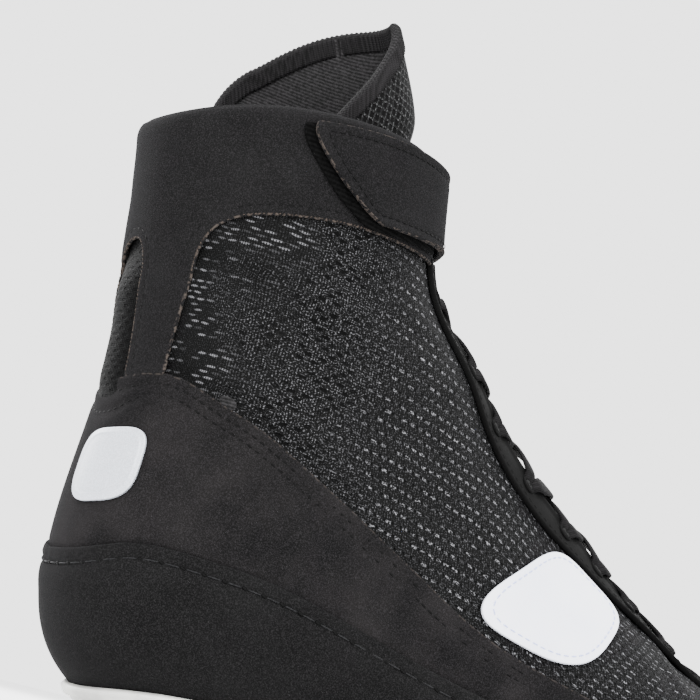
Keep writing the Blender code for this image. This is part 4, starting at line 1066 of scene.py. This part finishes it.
def troughs(points, rows):
    """Soft creases: each row is a side-view segment in millimetres, its depth and its width. The face
    sinks by the depth times a bell of the distance to the segment over the width, and beside the
    trough it swells by a third of that on a bell twice as wide."""
    x, z = from_side(points)[..., 0] / MM, from_side(points)[..., 1] / MM
    total = np.zeros(x.shape)
    for x0, z0, x1, z1, depth, width in rows:
        run = np.array([x1 - x0, z1 - z0])
        share = ((x - x0) * run[0] + (z - z0) * run[1]) / (run**2).sum()
        clipped = np.clip(share, 0, 1)
        gap = np.hypot(x - x0 - clipped * run[0], z - z0 - clipped * run[1])
        total = total - depth * (np.exp(-((gap / width) ** 2)) - 0.34 * np.exp(-((gap / (2.1 * width)) ** 2)))
    return total


KNIT_CREASES = (
    (8, 123, 24, 120, 1.5, 3.2), (24, 120, 45, 112.5, 1.6, 3.6), (45, 112.5, 62, 107, 0.9, 4.0),
    (11, 92, 25, 87, 1.6, 3.4), (25, 87, 42, 81, 1.3, 4.0), (42, 81, 60, 72, 0.7, 4.5),
    (50, 123, 80, 119, 0.9, 3.0), (58, 96, 88, 92, 0.7, 4.5), (72, 78, 104, 74, 0.6, 5.0),
    (88, 106, 74, 100, 0.9, 3.2), (16, 106, 34, 101, -0.7, 6.0), (96, 62, 128, 54, 0.5, 5.0),
)
VAMP_CREASES = (
    (182, 62, 196, 24, 0.9, 4.0), (198, 56, 210, 24, 0.8, 3.6), (168, 68, 180, 34, 0.6, 4.0),
)


def knit_relief(along, around, points, gap):
    """Creases of the knit, and a swell of 2.8 mm where it fills the heel window: a parabola across,
    faded out towards the window's top and the counter."""
    x, y, z = ((points - SHIFT) / MM).T
    across = np.clip(1 - ((y - 1.6) / 9.2) ** 2, 0, None)
    swell = 2.8 * across * (x < 28) * smooth(z, 76, 90) * (1 - smooth(z, 110, 124))
    return np.clip(troughs(points, KNIT_CREASES) + troughs(points, VAMP_CREASES), -2.2, 0.45) + swell


def ripple(points, size, seed):
    """A slow uneven swell of the hide, a few tenths of a millimetre: three crossed sine waves."""
    x, y, z = ((points - SHIFT) / MM).T
    a = np.sin(x / size + 0.7 * np.sin(z / (0.8 * size)) + seed)
    b = np.sin(z / (0.9 * size) + 0.5 * np.sin(y / size) + 2 * seed)
    return (a * b + 0.5 * np.sin((x + y - z) / (0.6 * size) + 3 * seed)) / 1.5


def close_travel(points, path):
    """For points near a path, in millimetres: the travel along it to the nearest of its points."""
    travel = np.concatenate([[0], np.cumsum(np.linalg.norm(np.diff(path, axis=0), axis=1))]) / MM
    nearest = np.linalg.norm(points[:, None, :] - path[None], axis=-1).argmin(1)
    return travel[nearest]


WRAP_PITCH = 5.5


def make_wrap(suede, thread, hole_shade):
    """The suede sole wrap with its seam: puffed between stitches along the edge, a valley under the
    thread, a few soft dents above the pads, and one stitch each 5.5 mm, with the needle holes between
    drawn as near-black sunk spindles of painted shade."""
    surface = layer(SEAT + WRAP_WALL)
    toe = np.linspace(0, 0.10, 34) ** 1.25 * 0.10 ** -0.25
    rows = np.concatenate([toe, np.linspace(0.10, 0.78, 250)[1:]])
    columns = np.arange(200) / 200
    middle = np.array([0.35 * LENGTH, 0.0])
    order = lambda p: np.arctan2(p[:, 1] - middle[1], middle[0] - p[:, 0])
    seam, seam_facing = closed_run(*traced(surface, keep_wrap, 3.1, rows[1:], np.linspace(0, 1, 300), order))

    def relief(along, around, points, gap):
        lift = 0.28 * ripple(points, 17, 0.4)
        near = (gap < 7) & (gap > -3)
        phase = np.zeros(len(gap))
        phase[near] = close_travel(points[near], seam)
        pinch = 0.55 - 0.45 * np.cos(2 * np.pi * phase / WRAP_PITCH)
        puff = 0.30 * np.exp(-(((gap - 1.4) / 1.3) ** 2)) * pinch
        valley = -0.55 * np.exp(-(((gap - 3.1) / 0.9) ** 2))
        swell = 0.35 * np.exp(-(((gap - 7.0) / 3.0) ** 2))
        return lift + np.where(near, puff + valley, 0) + swell

    wrap = shell("sole_wrap_suede", surface, rows, columns, WRAP_WALL, keep_wrap, relief,
                 closed=True, pole=True, lip=0.7)
    finish(wrap, [suede, suede, suede], "black_suede", "sole_wrap")
    runs = evenly(seam, seam_facing, WRAP_PITCH * MM)
    finish(stitches("wrap_seam_thread", [runs], 4.1, 0.24, 0.28), thread, "black_suede")
    # Painted shade: a near-black spindle sunk between the stitches, where the needle holes are.
    gaps = evenly(seam, seam_facing, WRAP_PITCH * MM, shift=0.0)
    finish(stitches("wrap_needle_hole_shade", [gaps], 1.7, 0.46, 0.45, slant=-0.35, arch=0.2), hole_shade, "black_suede")
    return seam


def make_counter(suede, thread):
    """The counter and quarters in one, laid over the knit, with two rows of fine stitches inside the
    upper edge."""
    surface = layer(SEAT + OVERLAY)
    rows, columns = np.linspace(0.16, 0.86, 300), np.linspace(0.14, 0.86, 190)

    def relief(along, around, points, gap):
        rows_of_thread = np.exp(-(((gap - 2.3) / 0.75) ** 2)) + np.exp(-(((gap - 4.9) / 0.75) ** 2))
        return 0.22 * ripple(points, 21, 1.3) - 0.55 * rows_of_thread

    counter = shell("counter_suede", surface, rows, columns, OVERLAY, keep_counter, relief, lip=0.3)
    finish(counter, [suede, suede, suede], "black_suede", "counter")
    upper_edge = lambda a, r, p: inside(from_side(p), COUNTER_REGION)
    order = lambda p: np.arctan2(p[:, 1], 0.30 * LENGTH - p[:, 0])
    runs = []
    for gap in (2.3, 4.9):
        path, facing = traced(
            surface, upper_edge, gap, rows, columns, order, ends=(-2.35, 2.35), relief=relief)
        keep = inside(from_side(path), WRAP_REGION) < 0.5
        runs.append(evenly(path[keep], facing[keep], 2.6 * MM))
    finish(stitches("counter_stitches", runs, 2.0, 0.27, 0.10), thread, "black_suede")


def make_cuff(suede, thread, overlock):
    """The collar panel with its arms, the side windows and the narrow heel window. It rolls over the rim
    and ends inside. A fine brown overlock thread shows along the cut edges, with a stitch row inside."""
    rows = np.concatenate([np.linspace(0.66, 1.0, 170), np.linspace(1.0, 1.07, 34)[1:]])
    columns = np.linspace(0.02, 0.98, 250)

    def relief(along, around, points, gap):
        pad = 0.5 * np.sin(np.pi * np.clip((along - 0.90) / 0.10, 0, 1)) ** 2
        drape = 0.35 * ripple(points, 16, 2.1) * smooth(along, 0.70, 0.80)
        creases = ((4, 118, 16, 112, 0.7, 4.0), (6, 138, 40, 136, 0.6, 5.0), (50, 146, 78, 144, 0.4, 4.0))
        soft = troughs(points, creases)
        return np.where(along <= 1, (pad + drape + soft) * (1 - smooth(along, 0.975, 1.0)), 0)

    cuff = shell("collar_cuff_suede", collar_surface, rows, columns, 0.9, keep_cuff, relief, lip=0.3)
    finish(cuff, [suede, suede, suede], "black_suede", "collar_cuff")
    window = lambda a, r, p: np.minimum(
        -inside(from_side(p), WINDOW_REGION), np.where(p[..., 1] < SHIFT[1], 50.0, -50.0))
    mirror = lambda a, r, p: np.minimum(
        -inside(from_side(p), WINDOW_REGION), np.where(p[..., 1] > SHIFT[1], 50.0, -50.0))
    centre = np.array([0.20, 0.58]) * [LENGTH, COLLAR_HEIGHT]
    order = lambda p: -np.arctan2(p[:, 2] - centre[1], centre[0] - p[:, 0])
    edge_runs, seam_runs = [], []
    fine_rows = np.linspace(0.70, 0.985, 260)
    for field, half in ((window, np.linspace(0.05, 0.5, 200)), (mirror, np.linspace(0.5, 0.95, 200))):
        for gap, runs, pitch in ((0.1, edge_runs, 1.05), (2.4, seam_runs, 2.6)):
            path, facing = traced(
                collar_surface, field, gap, fine_rows, half, order, ends=(-2.4, 0.75), relief=relief)
            clear = (inside(from_side(path), COUNTER_REGION) < -1) & (from_side(path)[:, 0] > 0.02 * LENGTH)
            runs.append(evenly(path[clear], facing[clear], pitch * MM))
    heel = lambda a, r, p: np.where(
        from_side(p)[..., 0] < 0.1 * LENGTH, -inside(from_behind(p), HEEL_WINDOW), 50.0)
    around_heel = lambda p: np.arctan2(p[:, 1], p[:, 2] - 0.60 * COLLAR_HEIGHT)
    for gap, runs, pitch in ((0.1, edge_runs, 1.05), (2.4, seam_runs, 2.6)):
        places = np.linspace(0.72, 0.93, 260), np.linspace(0.42, 0.58, 120)
        path, facing = traced(
            collar_surface, heel, gap, *places, around_heel, ends=(-2.9, 2.9), relief=relief)
        clear = inside(from_side(path), COUNTER_REGION) < -1
        runs.append(evenly(path[clear], facing[clear], pitch * MM))
    finish(stitches("cuff_overlock_thread", edge_runs, 0.75, 0.17, 0.10, slant=0.5), overlock, "black_suede")
    finish(stitches("cuff_stitches", seam_runs, 1.9, 0.16, 0.10), thread, "black_suede")


def make_cap(suede, thread):
    """The plain toe cap, with one stitch row inside its back edge."""
    surface = layer(SEAT + OVERLAY)
    rows, columns = np.linspace(0, 0.34, 130), np.arange(190) / 190
    relief = lambda along, around, points, gap: (
        0.2 * ripple(points, 15, 3.3) - 0.2 * np.exp(-(((gap - 2.4) / 0.7) ** 2)))
    cap = shell("toe_cap_suede", surface, rows, columns, OVERLAY, keep_cap, relief,
                closed=True, pole=True, lip=0.3)
    finish(cap, [suede, suede, suede], "black_suede", "toe_cap")
    back_edge = lambda a, r, p: inside(from_side(p), CAP_REGION)
    path, facing = traced(
        surface, back_edge, 2.4, rows[8:], np.linspace(0.0, 1.0, 240), lambda p: p[:, 1], relief=relief)
    clear = inside(from_side(path), WRAP_REGION) < -1
    run = evenly(path[clear], facing[clear], 2.6 * MM)
    finish(stitches("toe_cap_stitches", [run], 2.0, 0.18, 0.10), thread, "black_suede")


def make_knit(knit, lining):
    """The knitted upper: a wall with listed creases, and a thin lining on the inside."""
    rows = np.concatenate([np.linspace(0.02, 0.30, 90), np.linspace(0.30, 0.985, 225)[1:]])
    columns = np.arange(224) / 224
    upper = shell("knit_upper", layer(0), rows, columns, 1.2, keep_knit, knit_relief, closed=True, lip=0.3)
    finish(upper, [knit, lining, knit], "black_knit", "upper")
    place = np.concatenate([[0.03], np.linspace(0.10, 0.985, 60)])

    def surface(along, around):
        along, around = np.broadcast_arrays(np.asarray(along, float), np.asarray(around, float))
        return layer(-padding(along), False)(along, around)

    inner = shell("collar_lining", surface, place, np.arange(100) / 100, 0.5,
                  lambda a, r, p: from_throat(a, r), closed=True, flip=True, lip=0.2)
    finish(inner, [lining, lining, lining], "black_knit")


def eyelet_around(place):
    return throat_half(place) + 0.004 + 0.5 * EYESTAY_WIDTH


def lace_places():
    return np.linspace(THROAT_START + 0.040, 0.892, LACE_ROWS)


def make_eyestays(synthetic, thread, hole_shade):
    """The two eyestays: strips beside the throat with a folded bead along the throat's edge, two stitch
    rows, a turned-in rim round each eyelet and a near-black ring of painted shade sunk inside it."""
    rows = np.concatenate([np.linspace(THROAT_START + 0.010, 0.31, 26), np.linspace(0.31, 0.924, 230)[1:]])
    columns = np.linspace(0, 1, 22)
    runs, rings = [], []
    for name, side in (("eyestay_lateral", 1), ("eyestay_medial", -1)):

        def place(along, across, side=side):
            return side * (throat_half(along) + 0.004 + EYESTAY_WIDTH * across)

        def surface(along, across, side=side):
            return layer(LOOSE + OVERLAY)(along, place(along, across, side))

        def relief(along, across, points, gap):
            fold = 0.75 * np.exp(-(((across - 0.10) / 0.11) ** 2))
            to_row = np.abs(along[:, None] - lace_places()).min(1)
            dips = -0.35 * np.exp(-((to_row / 0.010) ** 2)) * np.exp(-(((across - 0.5) / 0.24) ** 2))
            return fold + dips

        stay = shell(name + "_band", surface, rows, columns, OVERLAY + STAY_FILLER, None, relief,
                     flip=side < 0, lip=0.4)
        finish(stay, [synthetic, synthetic, synthetic], "black_synthetic", name)
        for across in (0.24, 0.90):
            along = np.linspace(THROAT_START + 0.02, 0.919, 400)
            path = surface(along, np.full(400, across))
            facing = normals_of(surface, along, np.full(400, across), side < 0)
            runs.append(evenly(path, facing, 2.5 * MM))
        for row in lace_places():
            centre = surface(row, 0.5)
            facing = normals_of(surface, np.array([row]), np.array([0.5]), side < 0)[0]
            rings.append((centre, facing))
    finish(stitches("eyestay_stitches", runs, 1.9, 0.16, 0.08), thread, "black_synthetic")
    centres, facings = (np.array(part) for part in zip(*rings))
    finish(eyelet_rims("eyelet_rims", centres, facings, 2.1, 0.5), synthetic, "black_synthetic")
    # Painted shade: a near-black ring sunk in each eyelet, standing for the shade inside it.
    holes = eyelet_rims("eyelet_hole_shade", centres - facings * 0.25 * MM, facings, 0.9, 0.95)
    finish(holes, hole_shade, "black_synthetic")


def eyelet_rims(name, centres, facings, radius, tube):
    """A ring for each eyelet: a circle of a radius swept by a round of a tube radius."""
    big, small = 2 * np.pi * np.arange(18) / 18, 2 * np.pi * np.arange(7) / 7
    b, s = np.meshgrid(big, small, indexing="ij")
    side = np.cross(facings, [0.3, 0.9, 0.1])
    side /= np.linalg.norm(side, axis=1, keepdims=True)
    other = np.cross(facings, side)
    out = radius + tube * np.cos(s)
    shape = lambda part, vector: part[None, ..., None] * vector[:, None, None, :] * MM
    points = (
        centres[:, None, None, :]
        + shape(out * np.cos(b), side)
        + shape(out * np.sin(b), other)
        + shape(tube * np.sin(s), facings)
    )
    index = np.arange(b.size).reshape(b.shape)
    index = np.hstack([index, index[:, :1]])
    index = np.vstack([index, index[:1]])
    one = quads_of(index, False)
    faces = (one[None] + (np.arange(len(centres)) * b.size)[:, None, None]).reshape(-1, 4)
    return solid(name, points.reshape(-1, 3), faces)


def strand(start, end, lift, steps=34):
    """One strand from eyelet to eyelet: straight on the form from place to place, up out of the first
    eyelet, over the folded edges, bowed over the throat, and down into the other. It gathers at the
    eyelets and lies flat between them."""
    t = np.linspace(0, 1, steps)
    along = start[0] + (end[0] - start[0]) * t
    around = start[1] + (end[1] - start[1]) * t
    rise = smooth(t, 0.0, 0.10) * (1 - smooth(t, 0.90, 1.0))
    seat = -1.2 + rise * (LOOSE + OVERLAY + 2.35) + lift * np.sin(np.pi * t) ** 2
    raised = lifted(along, around)
    facing = outward(raised, around)
    path = form(raised, around) + facing * (seat * MM)[:, None] + SHIFT
    gather = 0.50 + 0.50 * smooth(t, 0.02, 0.22) * (1 - smooth(t, 0.78, 0.98))
    return band(path, facing, LACE_WIDTH * gather, LACE_WALL / np.sqrt(gather))


def make_laces(webbing):
    """The lace, criss-crossed through nine rows of eyelets. One strand of each crossing lies over the
    other, and a straight bar closes the lowest row."""
    places = lace_places()
    strands = [strand((places[0], eyelet_around(places[0])), (places[0], -eyelet_around(places[0])), 0.4)]
    for row in range(LACE_ROWS - 1):
        low, high = places[row], places[row + 1]
        near, far = eyelet_around(low), eyelet_around(high)
        turn = 1 if row % 2 == 0 else -1
        strands.append(strand((low, turn * near), (high, -turn * far), 0.2))
        strands.append(strand((low, -turn * near), (high, turn * far), 1.7))
    points, faces, count = [], [], 0
    for one in strands:
        index = np.arange(one.shape[0] * one.shape[1]).reshape(one.shape[:2]) + count
        faces.append(quads_of(np.hstack([index, index[:, :1]]), True))
        points.append(one.reshape(-1, 3))
        count += index.size
    lace = solid("crossed_lace", np.concatenate(points), np.concatenate(faces))
    finish(lace, webbing, "black_lace", *[f"lace_{row + 1}" for row in range(LACE_ROWS - 1)])


TONGUE_CREST = 0.12


def tongue_place(up, across):
    """A place on the tongue: it wraps the shin by a share of the way around that widens upwards, and its
    top falls from the crest to both sides by a power of the way across."""
    drop = np.where(
        across < TONGUE_CREST,
        (np.abs(TONGUE_CREST - across) / (1 + TONGUE_CREST)) ** 2.6,
        (np.abs(across - TONGUE_CREST) / (1 - TONGUE_CREST)) ** 1.6,
    )
    top = 1.0 + (PLACE["tongue top"] - 1.0) * (1 - drop)
    foot = THROAT_START + 0.01
    along = foot + (top - foot) * up
    widening = smooth(along, 0.45, 1.0)
    lateral, medial = 0.055 + 0.190 * widening, 0.055 + 0.265 * widening
    return along, across * np.where(across > 0, lateral, medial)


def tongue_surface(up, across):
    """The tongue's face: under the padded collar by the clearance, deepest at the rim."""
    up, across = np.broadcast_arrays(np.asarray(up, float), np.asarray(across, float))
    along, around = tongue_place(up, across)
    depth = padding(along) + 1.5 * LOOSE + 2.2 * smooth(along, 0.8, 1.0) * (1 - smooth(along, 1.0, 1.045))
    raised = lifted(along, around)
    return form(raised, around) - outward(raised, around) * (depth * MM)[..., None] + SHIFT


def make_tongue(waffle, lining, binding):
    """The padded tongue: waffle mesh outside, tricot inside, and an overlocked binding that turns over
    the top edge in close ribs."""
    rows, columns = np.linspace(0, 1, 132), np.linspace(-1, 1, 98)
    taper = lambda up, across: (
        TONGUE_WALL * (1 - 0.45 * np.abs(across) ** 6) * (1 - 0.35 * smooth(up, 0.95, 1.0)))

    def relief(up, across, points, gap):
        seam = 0.5 * np.exp(-(((across + 0.42) / 0.03) ** 2)) + 0.4 * np.exp(-(((across - 0.62) / 0.03) ** 2))
        return 0.35 * ripple(points, 12, 4.2) - seam * smooth(up, 0.7, 0.8)

    tongue = shell("tongue_pad", tongue_surface, rows, columns, taper, None, relief, lip=1.2)
    finish(tongue, [waffle, lining, lining], "black_knit", "tongue")
    finish(tongue_binding(), binding, "black_knit")


def tongue_binding():
    """The binding over the tongue's top edge. Across it is a hoop: from the face 4.6 mm below the edge,
    round the edge and down the inside as far. Along it the hoop swells in ribs 1.5 mm apart."""
    across = np.linspace(-0.985, 0.985, 700)
    up = np.ones_like(across)
    face = tongue_surface(up, across)
    step = face - tongue_surface(up - 0.01, across)
    rate = np.linalg.norm(step, axis=1) / 0.01
    upward = step / np.linalg.norm(step, axis=1, keepdims=True)
    normal = normals_of(tongue_surface, up - 1e-3, across)
    travel = np.concatenate([[0], np.cumsum(np.linalg.norm(np.diff(face, axis=0), axis=1))]) / MM
    wide = 4.8
    reach = np.concatenate([np.linspace(wide, 0.4, 6), np.zeros(7), np.linspace(0.4, wide, 6)])
    turn = np.concatenate([np.zeros(6), np.linspace(0, 1, 7), np.ones(6)])
    thick = TONGUE_WALL * 0.65 + 0.1
    low_up = 1 - (reach[None, :] * MM) / rate[:, None]
    at = tongue_surface(low_up, np.broadcast_to(across[:, None], low_up.shape))
    crown = np.sin(np.pi * turn)
    ribs = 0.16 * np.sin(2 * np.pi * travel / 1.5)[:, None] * np.ones_like(reach)[None, :]
    outside = 0.35 + ribs
    depth = outside * np.cos(np.pi * turn)[None, :] - thick * turn[None, :]
    points = (
        at
        + normal[:, None, :] * (depth * MM)[..., None]
        + upward[:, None, :] * ((crown[None, :] * (0.9 + outside)) * MM)[..., None]
    )
    under = at - normal[:, None, :] * ((thick * 0.5) * MM)
    edge = np.concatenate([under[:, :1], points, under[:, -1:]], axis=1)
    index = np.arange(edge.shape[0] * edge.shape[1]).reshape(edge.shape[:2])
    index = np.hstack([index, index[:, :1]])
    return solid("tongue_binding", edge.reshape(-1, 3), quads_of(index, True))


def make_strap(suede, dark_band, thread, overlock):
    """The ankle strap over its darker hook band. Both run from the medial side over the front to a
    slanted lateral tip, and the strap lies on the cuff where the hook band doesn't reach. It has a stitch
    row inside its edge, and both have overlock thread on the edge."""
    over = SEAT + OVERLAY + SEAT
    rows, columns = np.linspace(0, 1, 34), np.linspace(0, 1, 190)
    for name, inner, thickness, start, grow in (
        ("strap_hook", over, HOOK_WALL, 0.110, HOOK_MARGIN),
        ("strap", over + HOOK_WALL + LOOSE, STRAP_WALL, -0.225, 0.0),
    ):

        def place(across, sweep, start=start, grow=grow):
            tip = STRAP_TIP + 0.069 * across**0.85 - 0.014 * across**7 - 0.009 * (1 - across) ** 9 + grow
            around = start + (tip - start) * sweep
            bottom = STRAP_LOW + 0.004 * smooth(0.25 - around, 0.05, 0.20) - 0.4 * grow
            return bottom + (STRAP_HIGH - bottom) * across, around

        def surface(across, sweep, place=place, inner=inner, thickness=thickness):
            across, sweep = np.broadcast_arrays(np.clip(across, 0, 1.2), sweep)
            along, around = place(across, sweep)
            over_band = layer(inner + thickness, False)(along, around)
            over_cuff = layer(over + thickness, False)(along, around)
            return over_cuff + (over_band - over_cuff) * smooth(around, 0.04, 0.11)[..., None]

        def relief(across, sweep, points, gap):
            margin = np.minimum(np.minimum(across, 1 - across) * 27, (1 - sweep) * 100)
            return 0.25 * ripple(points, 14, 5.0) - 0.3 * np.exp(-(((margin - 2.4) / 0.8) ** 2))

        folds = relief if grow == 0 else None
        piece = shell(name + "_band", surface, rows, columns, thickness, None, folds, lip=0.45)
        face, sample = (suede, "black_suede") if grow == 0 else (dark_band, "black_hook")
        finish(piece, [face] * 3, sample, name)
        edge_runs, seam_runs = [], []
        for inset, runs, pitch in ((0.0, edge_runs, 1.05), (0.088, seam_runs, 2.5)):
            u = np.linspace(0, 1, 400)
            end = 1 - inset * STRAP_WIDTH_TO_REACH
            low = (np.full(400, inset), u * end)
            tip_side = (inset + (1 - 2 * inset) * u, np.full(400, end))
            top = (np.full(400, 1 - inset), (1 - u) * end)
            for across, sweep in (low, tip_side, top):
                path = surface(across, sweep)
                facing = normals_of(surface, np.maximum(across, 0.002), sweep)
                runs.append(evenly(path, facing, pitch * MM))
        finish(stitches(name + "_overlock", edge_runs, 0.75, 0.17, 0.30, slant=0.5), overlock, "black_suede")
        if grow == 0:
            finish(stitches("strap_stitches", seam_runs, 1.9, 0.16, 0.15), thread, "black_suede")


def make_insole(foam):
    """The foam footbed, dished towards its middle."""
    first, last = PLACE["toe front"] + 0.01, PLACE["heel curve"] - 0.015
    top = -UPPER_WALL - 1.2 * LOOSE

    def surface(t, across):
        t, across = np.broadcast_arrays(np.asarray(t, float), np.asarray(across, float))
        turn = np.pi * np.clip(t, 0.004, 0.996)
        along = (first + last) / 2 - (last - first) / 2 * np.cos(turn)
        half = INSOLE_HALF * np.sqrt(np.clip(np.sin(turn), 0, 1))
        return layer(top, False)(along, 0.5 + across * half)

    rows, columns = np.linspace(0.004, 0.996, 90), np.linspace(-1, 1, 44)
    sole = shell("insole_foam", surface, rows, columns, INSOLE_THICKNESS, flip=True, lip=0.8)
    finish(sole, [foam, foam, foam], "grey_foam", "insole")


def make_pads(rubber):
    """The two rubber pads: oval dishes under the wrap. Their face has a smooth border, and inside it
    broad channels between thin ridges that follow the oval. The flat foot of each lies on the floor."""
    rows = (
        ("heel_pad", "outsole_heel", PLACE["heel front"] - 0.045, PLACE["heel curve"] - 0.018, 0.136),
        ("forefoot_pad", "outsole_forefoot", PLACE["toe front"] + 0.004, PLACE["ball back"] - 0.005, 0.122),
    )
    top = SEAT + WRAP_WALL + LOOSE
    edge = 0.3 * PAD_THICKNESS
    ridges = np.array([0.28, 0.45, 0.62, 0.79])
    for name, stands_for, first, last, half in rows:
        middle, reach = (first + last) / 2, (last - first) / 2

        def place(ring, turn, middle=middle, reach=reach, half=half):
            c, s = np.cos(turn), np.sin(turn)
            along = middle + reach * ring * np.sign(c) * np.abs(c) ** 0.8
            return along, 0.5 + half * ring * np.sign(s) * np.abs(s) ** 0.8

        ring = np.concatenate([np.linspace(0, 0.2, 5), np.linspace(0.2, 1.0, 96)[1:]])
        turn = np.linspace(0, 2 * np.pi, 150, endpoint=False)
        r, t = np.meshgrid(ring, turn, indexing="ij")
        along, around = place(r, t)
        body = np.clip((1 - r) / 0.36, 0, 1) ** 0.6
        height = top + edge + (PAD_THICKNESS - edge) * body
        high = layer(0, False)(along, around) + outward(along, around) * (height * MM)[..., None]
        low = layer(top, False)(along, around)
        near = np.abs(r[..., None] - ridges).min(-1)
        ridge = np.exp(-((near / 0.016) ** 2))
        border = smooth(r, 0.905, 0.93)
        channel = (1 - np.maximum(ridge, border)) * smooth(r, 0.10, 0.2)
        high[..., 2] = np.maximum(high[..., 2], 0.0)
        high -= outward(along, around) * (0.95 * MM * channel)[..., None]
        index = np.arange(r.size).reshape(r.shape)
        index[0] = index[0, 0]
        index = np.hstack([index, index[:, :1]])
        outer = quads_of(index, False)
        rim = open_edges(outer, r.size)
        wall = np.stack([rim[:, 1], rim[:, 0], rim[:, 0] + r.size, rim[:, 1] + r.size], 1)
        faces = np.concatenate([outer, outer[:, ::-1] + r.size, wall])
        pad = solid(name, np.concatenate([high.reshape(-1, 3), low.reshape(-1, 3)]), faces)
        finish(pad, rubber, "white_rubber", stands_for)


def plate(name, along, around, half_along, half_around, base, thickness, bead, flip):
    """A rounded oblong laid on a panel: a superellipse about a place, with a softened edge and, if bead
    is not 0, a raised line inside its edge."""

    def surface(ring, turn):
        ring, turn = np.broadcast_arrays(np.asarray(ring, float), np.asarray(turn, float))
        c, s = np.cos(turn), np.sin(turn)
        across = around + half_around * ring * np.sign(c) * np.abs(c) ** 0.55
        upward = along + half_along * ring * np.sign(s) * np.abs(s) ** 0.55
        return layer(base + thickness)(upward, across)

    def relief(ring, turn, points, gap):
        return bead * np.exp(-(((ring - BEAD_RING) / BEAD_SPREAD) ** 2)) - 0.25 * thickness * ring**6

    ring = np.concatenate([np.linspace(0, 0.7, 12), np.linspace(0.7, 1, 22)[1:]])
    turn = np.linspace(0, 2 * np.pi, 120, endpoint=False)
    piece = shell(name, surface, ring, turn, thickness, None, relief,
                  closed=True, pole=True, flip=flip, lip=0.35)
    return surface, piece


def make_plates(lacquer, synthetic, lilac):
    """The blank moulded badge behind the ankle, and a plain patch on each side with a lilac stitch row."""
    _, badge = plate("blank_badge", 0.760, 0.455, 0.020, 0.046, SEAT + OVERLAY + 0.1, BADGE_WALL, 0.12, True)
    finish(badge, [lacquer] * 3, "silver_plastic", "heel_badge")
    runs = []
    for name, side in (("patch_lateral", 1), ("patch_medial", -1)):
        surface, patch = plate("plain_" + name, 0.520, side * 0.144, 0.068, 0.054, 0.35, 1.2, 0.0, True)
        finish(patch, [synthetic] * 3, "white_synthetic", name)
        turn = np.linspace(0, 2 * np.pi, 600)
        ring = np.full(600, 0.90)
        path = surface(ring, turn)
        facing = normals_of(surface, ring, turn, True)
        runs.append(evenly(path, facing, 2.5 * MM))
    finish(stitches("patch_stitches", runs, 1.8, 0.17, 0.12), lilac, "white_synthetic")


def main():
    set_camera()
    set_light()
    suede = microfibre_suede("microfibre_suede", "#080808", "#141313", "#2d2b2d", fray=0.2)
    wrap_suede = microfibre_suede(
        "wrap_suede", "#080808", "#0d0d0d", "#2a292a", grain=0.36, fray=0.0, nap=22.0, seams=(3.1,))
    cuff_suede = microfibre_suede(
        "collar_suede", "#090909", "#0e0e0e", "#2a282a", grain=0.34, nap=14.0, seams=(2.4,))
    knit = jacquard_knit("jacquard_knit", "#030303", "#0c0c0c", "#6c6c6f")
    lining = tricot_lining("tricot_lining", "#151515", "#2a292a")
    # Painted shade: the waffle's first colour is the darker tone painted into each pit.
    waffle = waffle_mesh("waffle_mesh", "#050505", "#121212", "#4c4c4d")
    webbing = woven_webbing("woven_webbing", "#070707", "#141314")
    binding = woven_webbing("ribbed_binding", "#0a0a0a", "#1b1a1b")
    black_thread = spun_thread("black_thread", "#040404", "#020202")
    grey_thread = spun_thread("grey_thread", "#1c1c1d", "#101011")
    brown_thread = spun_thread("overlock_thread", "#37302b", "#15110f")
    lilac_thread = spun_thread("lilac_thread", "#b4bde6", "#9aa4d8")
    # Painted shade: a near-black colour put into the needle holes and the eyelets, where there is only shade.
    painted_hole_shade = spun_thread("needle_hole_painted_shade", "#030303", "#020202")
    synthetic = coated_synthetic("black_coated_synthetic", "#0b0b0b", "#080808", 0.7, gloss=0.02)
    white = coated_synthetic("white_coated_synthetic", "#e4e6ee", "#dadde9", 0.42, 0.7, 0.03, 0.4)
    hook = tricot_lining("hook_tape", "#030303", "#090909", 1.2)
    rubber = cast_rubber("gum_rubber", "#bcbcb7", "#a3a3a0")
    lacquer = moulded_plate("silver_lacquer", "#b9bdc5", "#a4a8b0")
    foam = tricot_lining("footbed_cloth", "#1a1b1c", "#2b2c2e", 1.1)
    set_floor(painted_floor("studio_sweep", "#f2f2f2"))
    make_wrap(wrap_suede, grey_thread, painted_hole_shade)
    make_counter(suede, black_thread)
    make_cuff(cuff_suede, black_thread, brown_thread)
    make_cap(suede, black_thread)
    make_knit(knit, lining)
    make_eyestays(synthetic, black_thread, painted_hole_shade)
    make_laces(webbing)
    make_tongue(waffle, lining, binding)
    make_strap(cuff_suede, hook, black_thread, brown_thread)
    make_insole(foam)
    make_pads(rubber)
    make_plates(lacquer, white, lilac_thread)


main()
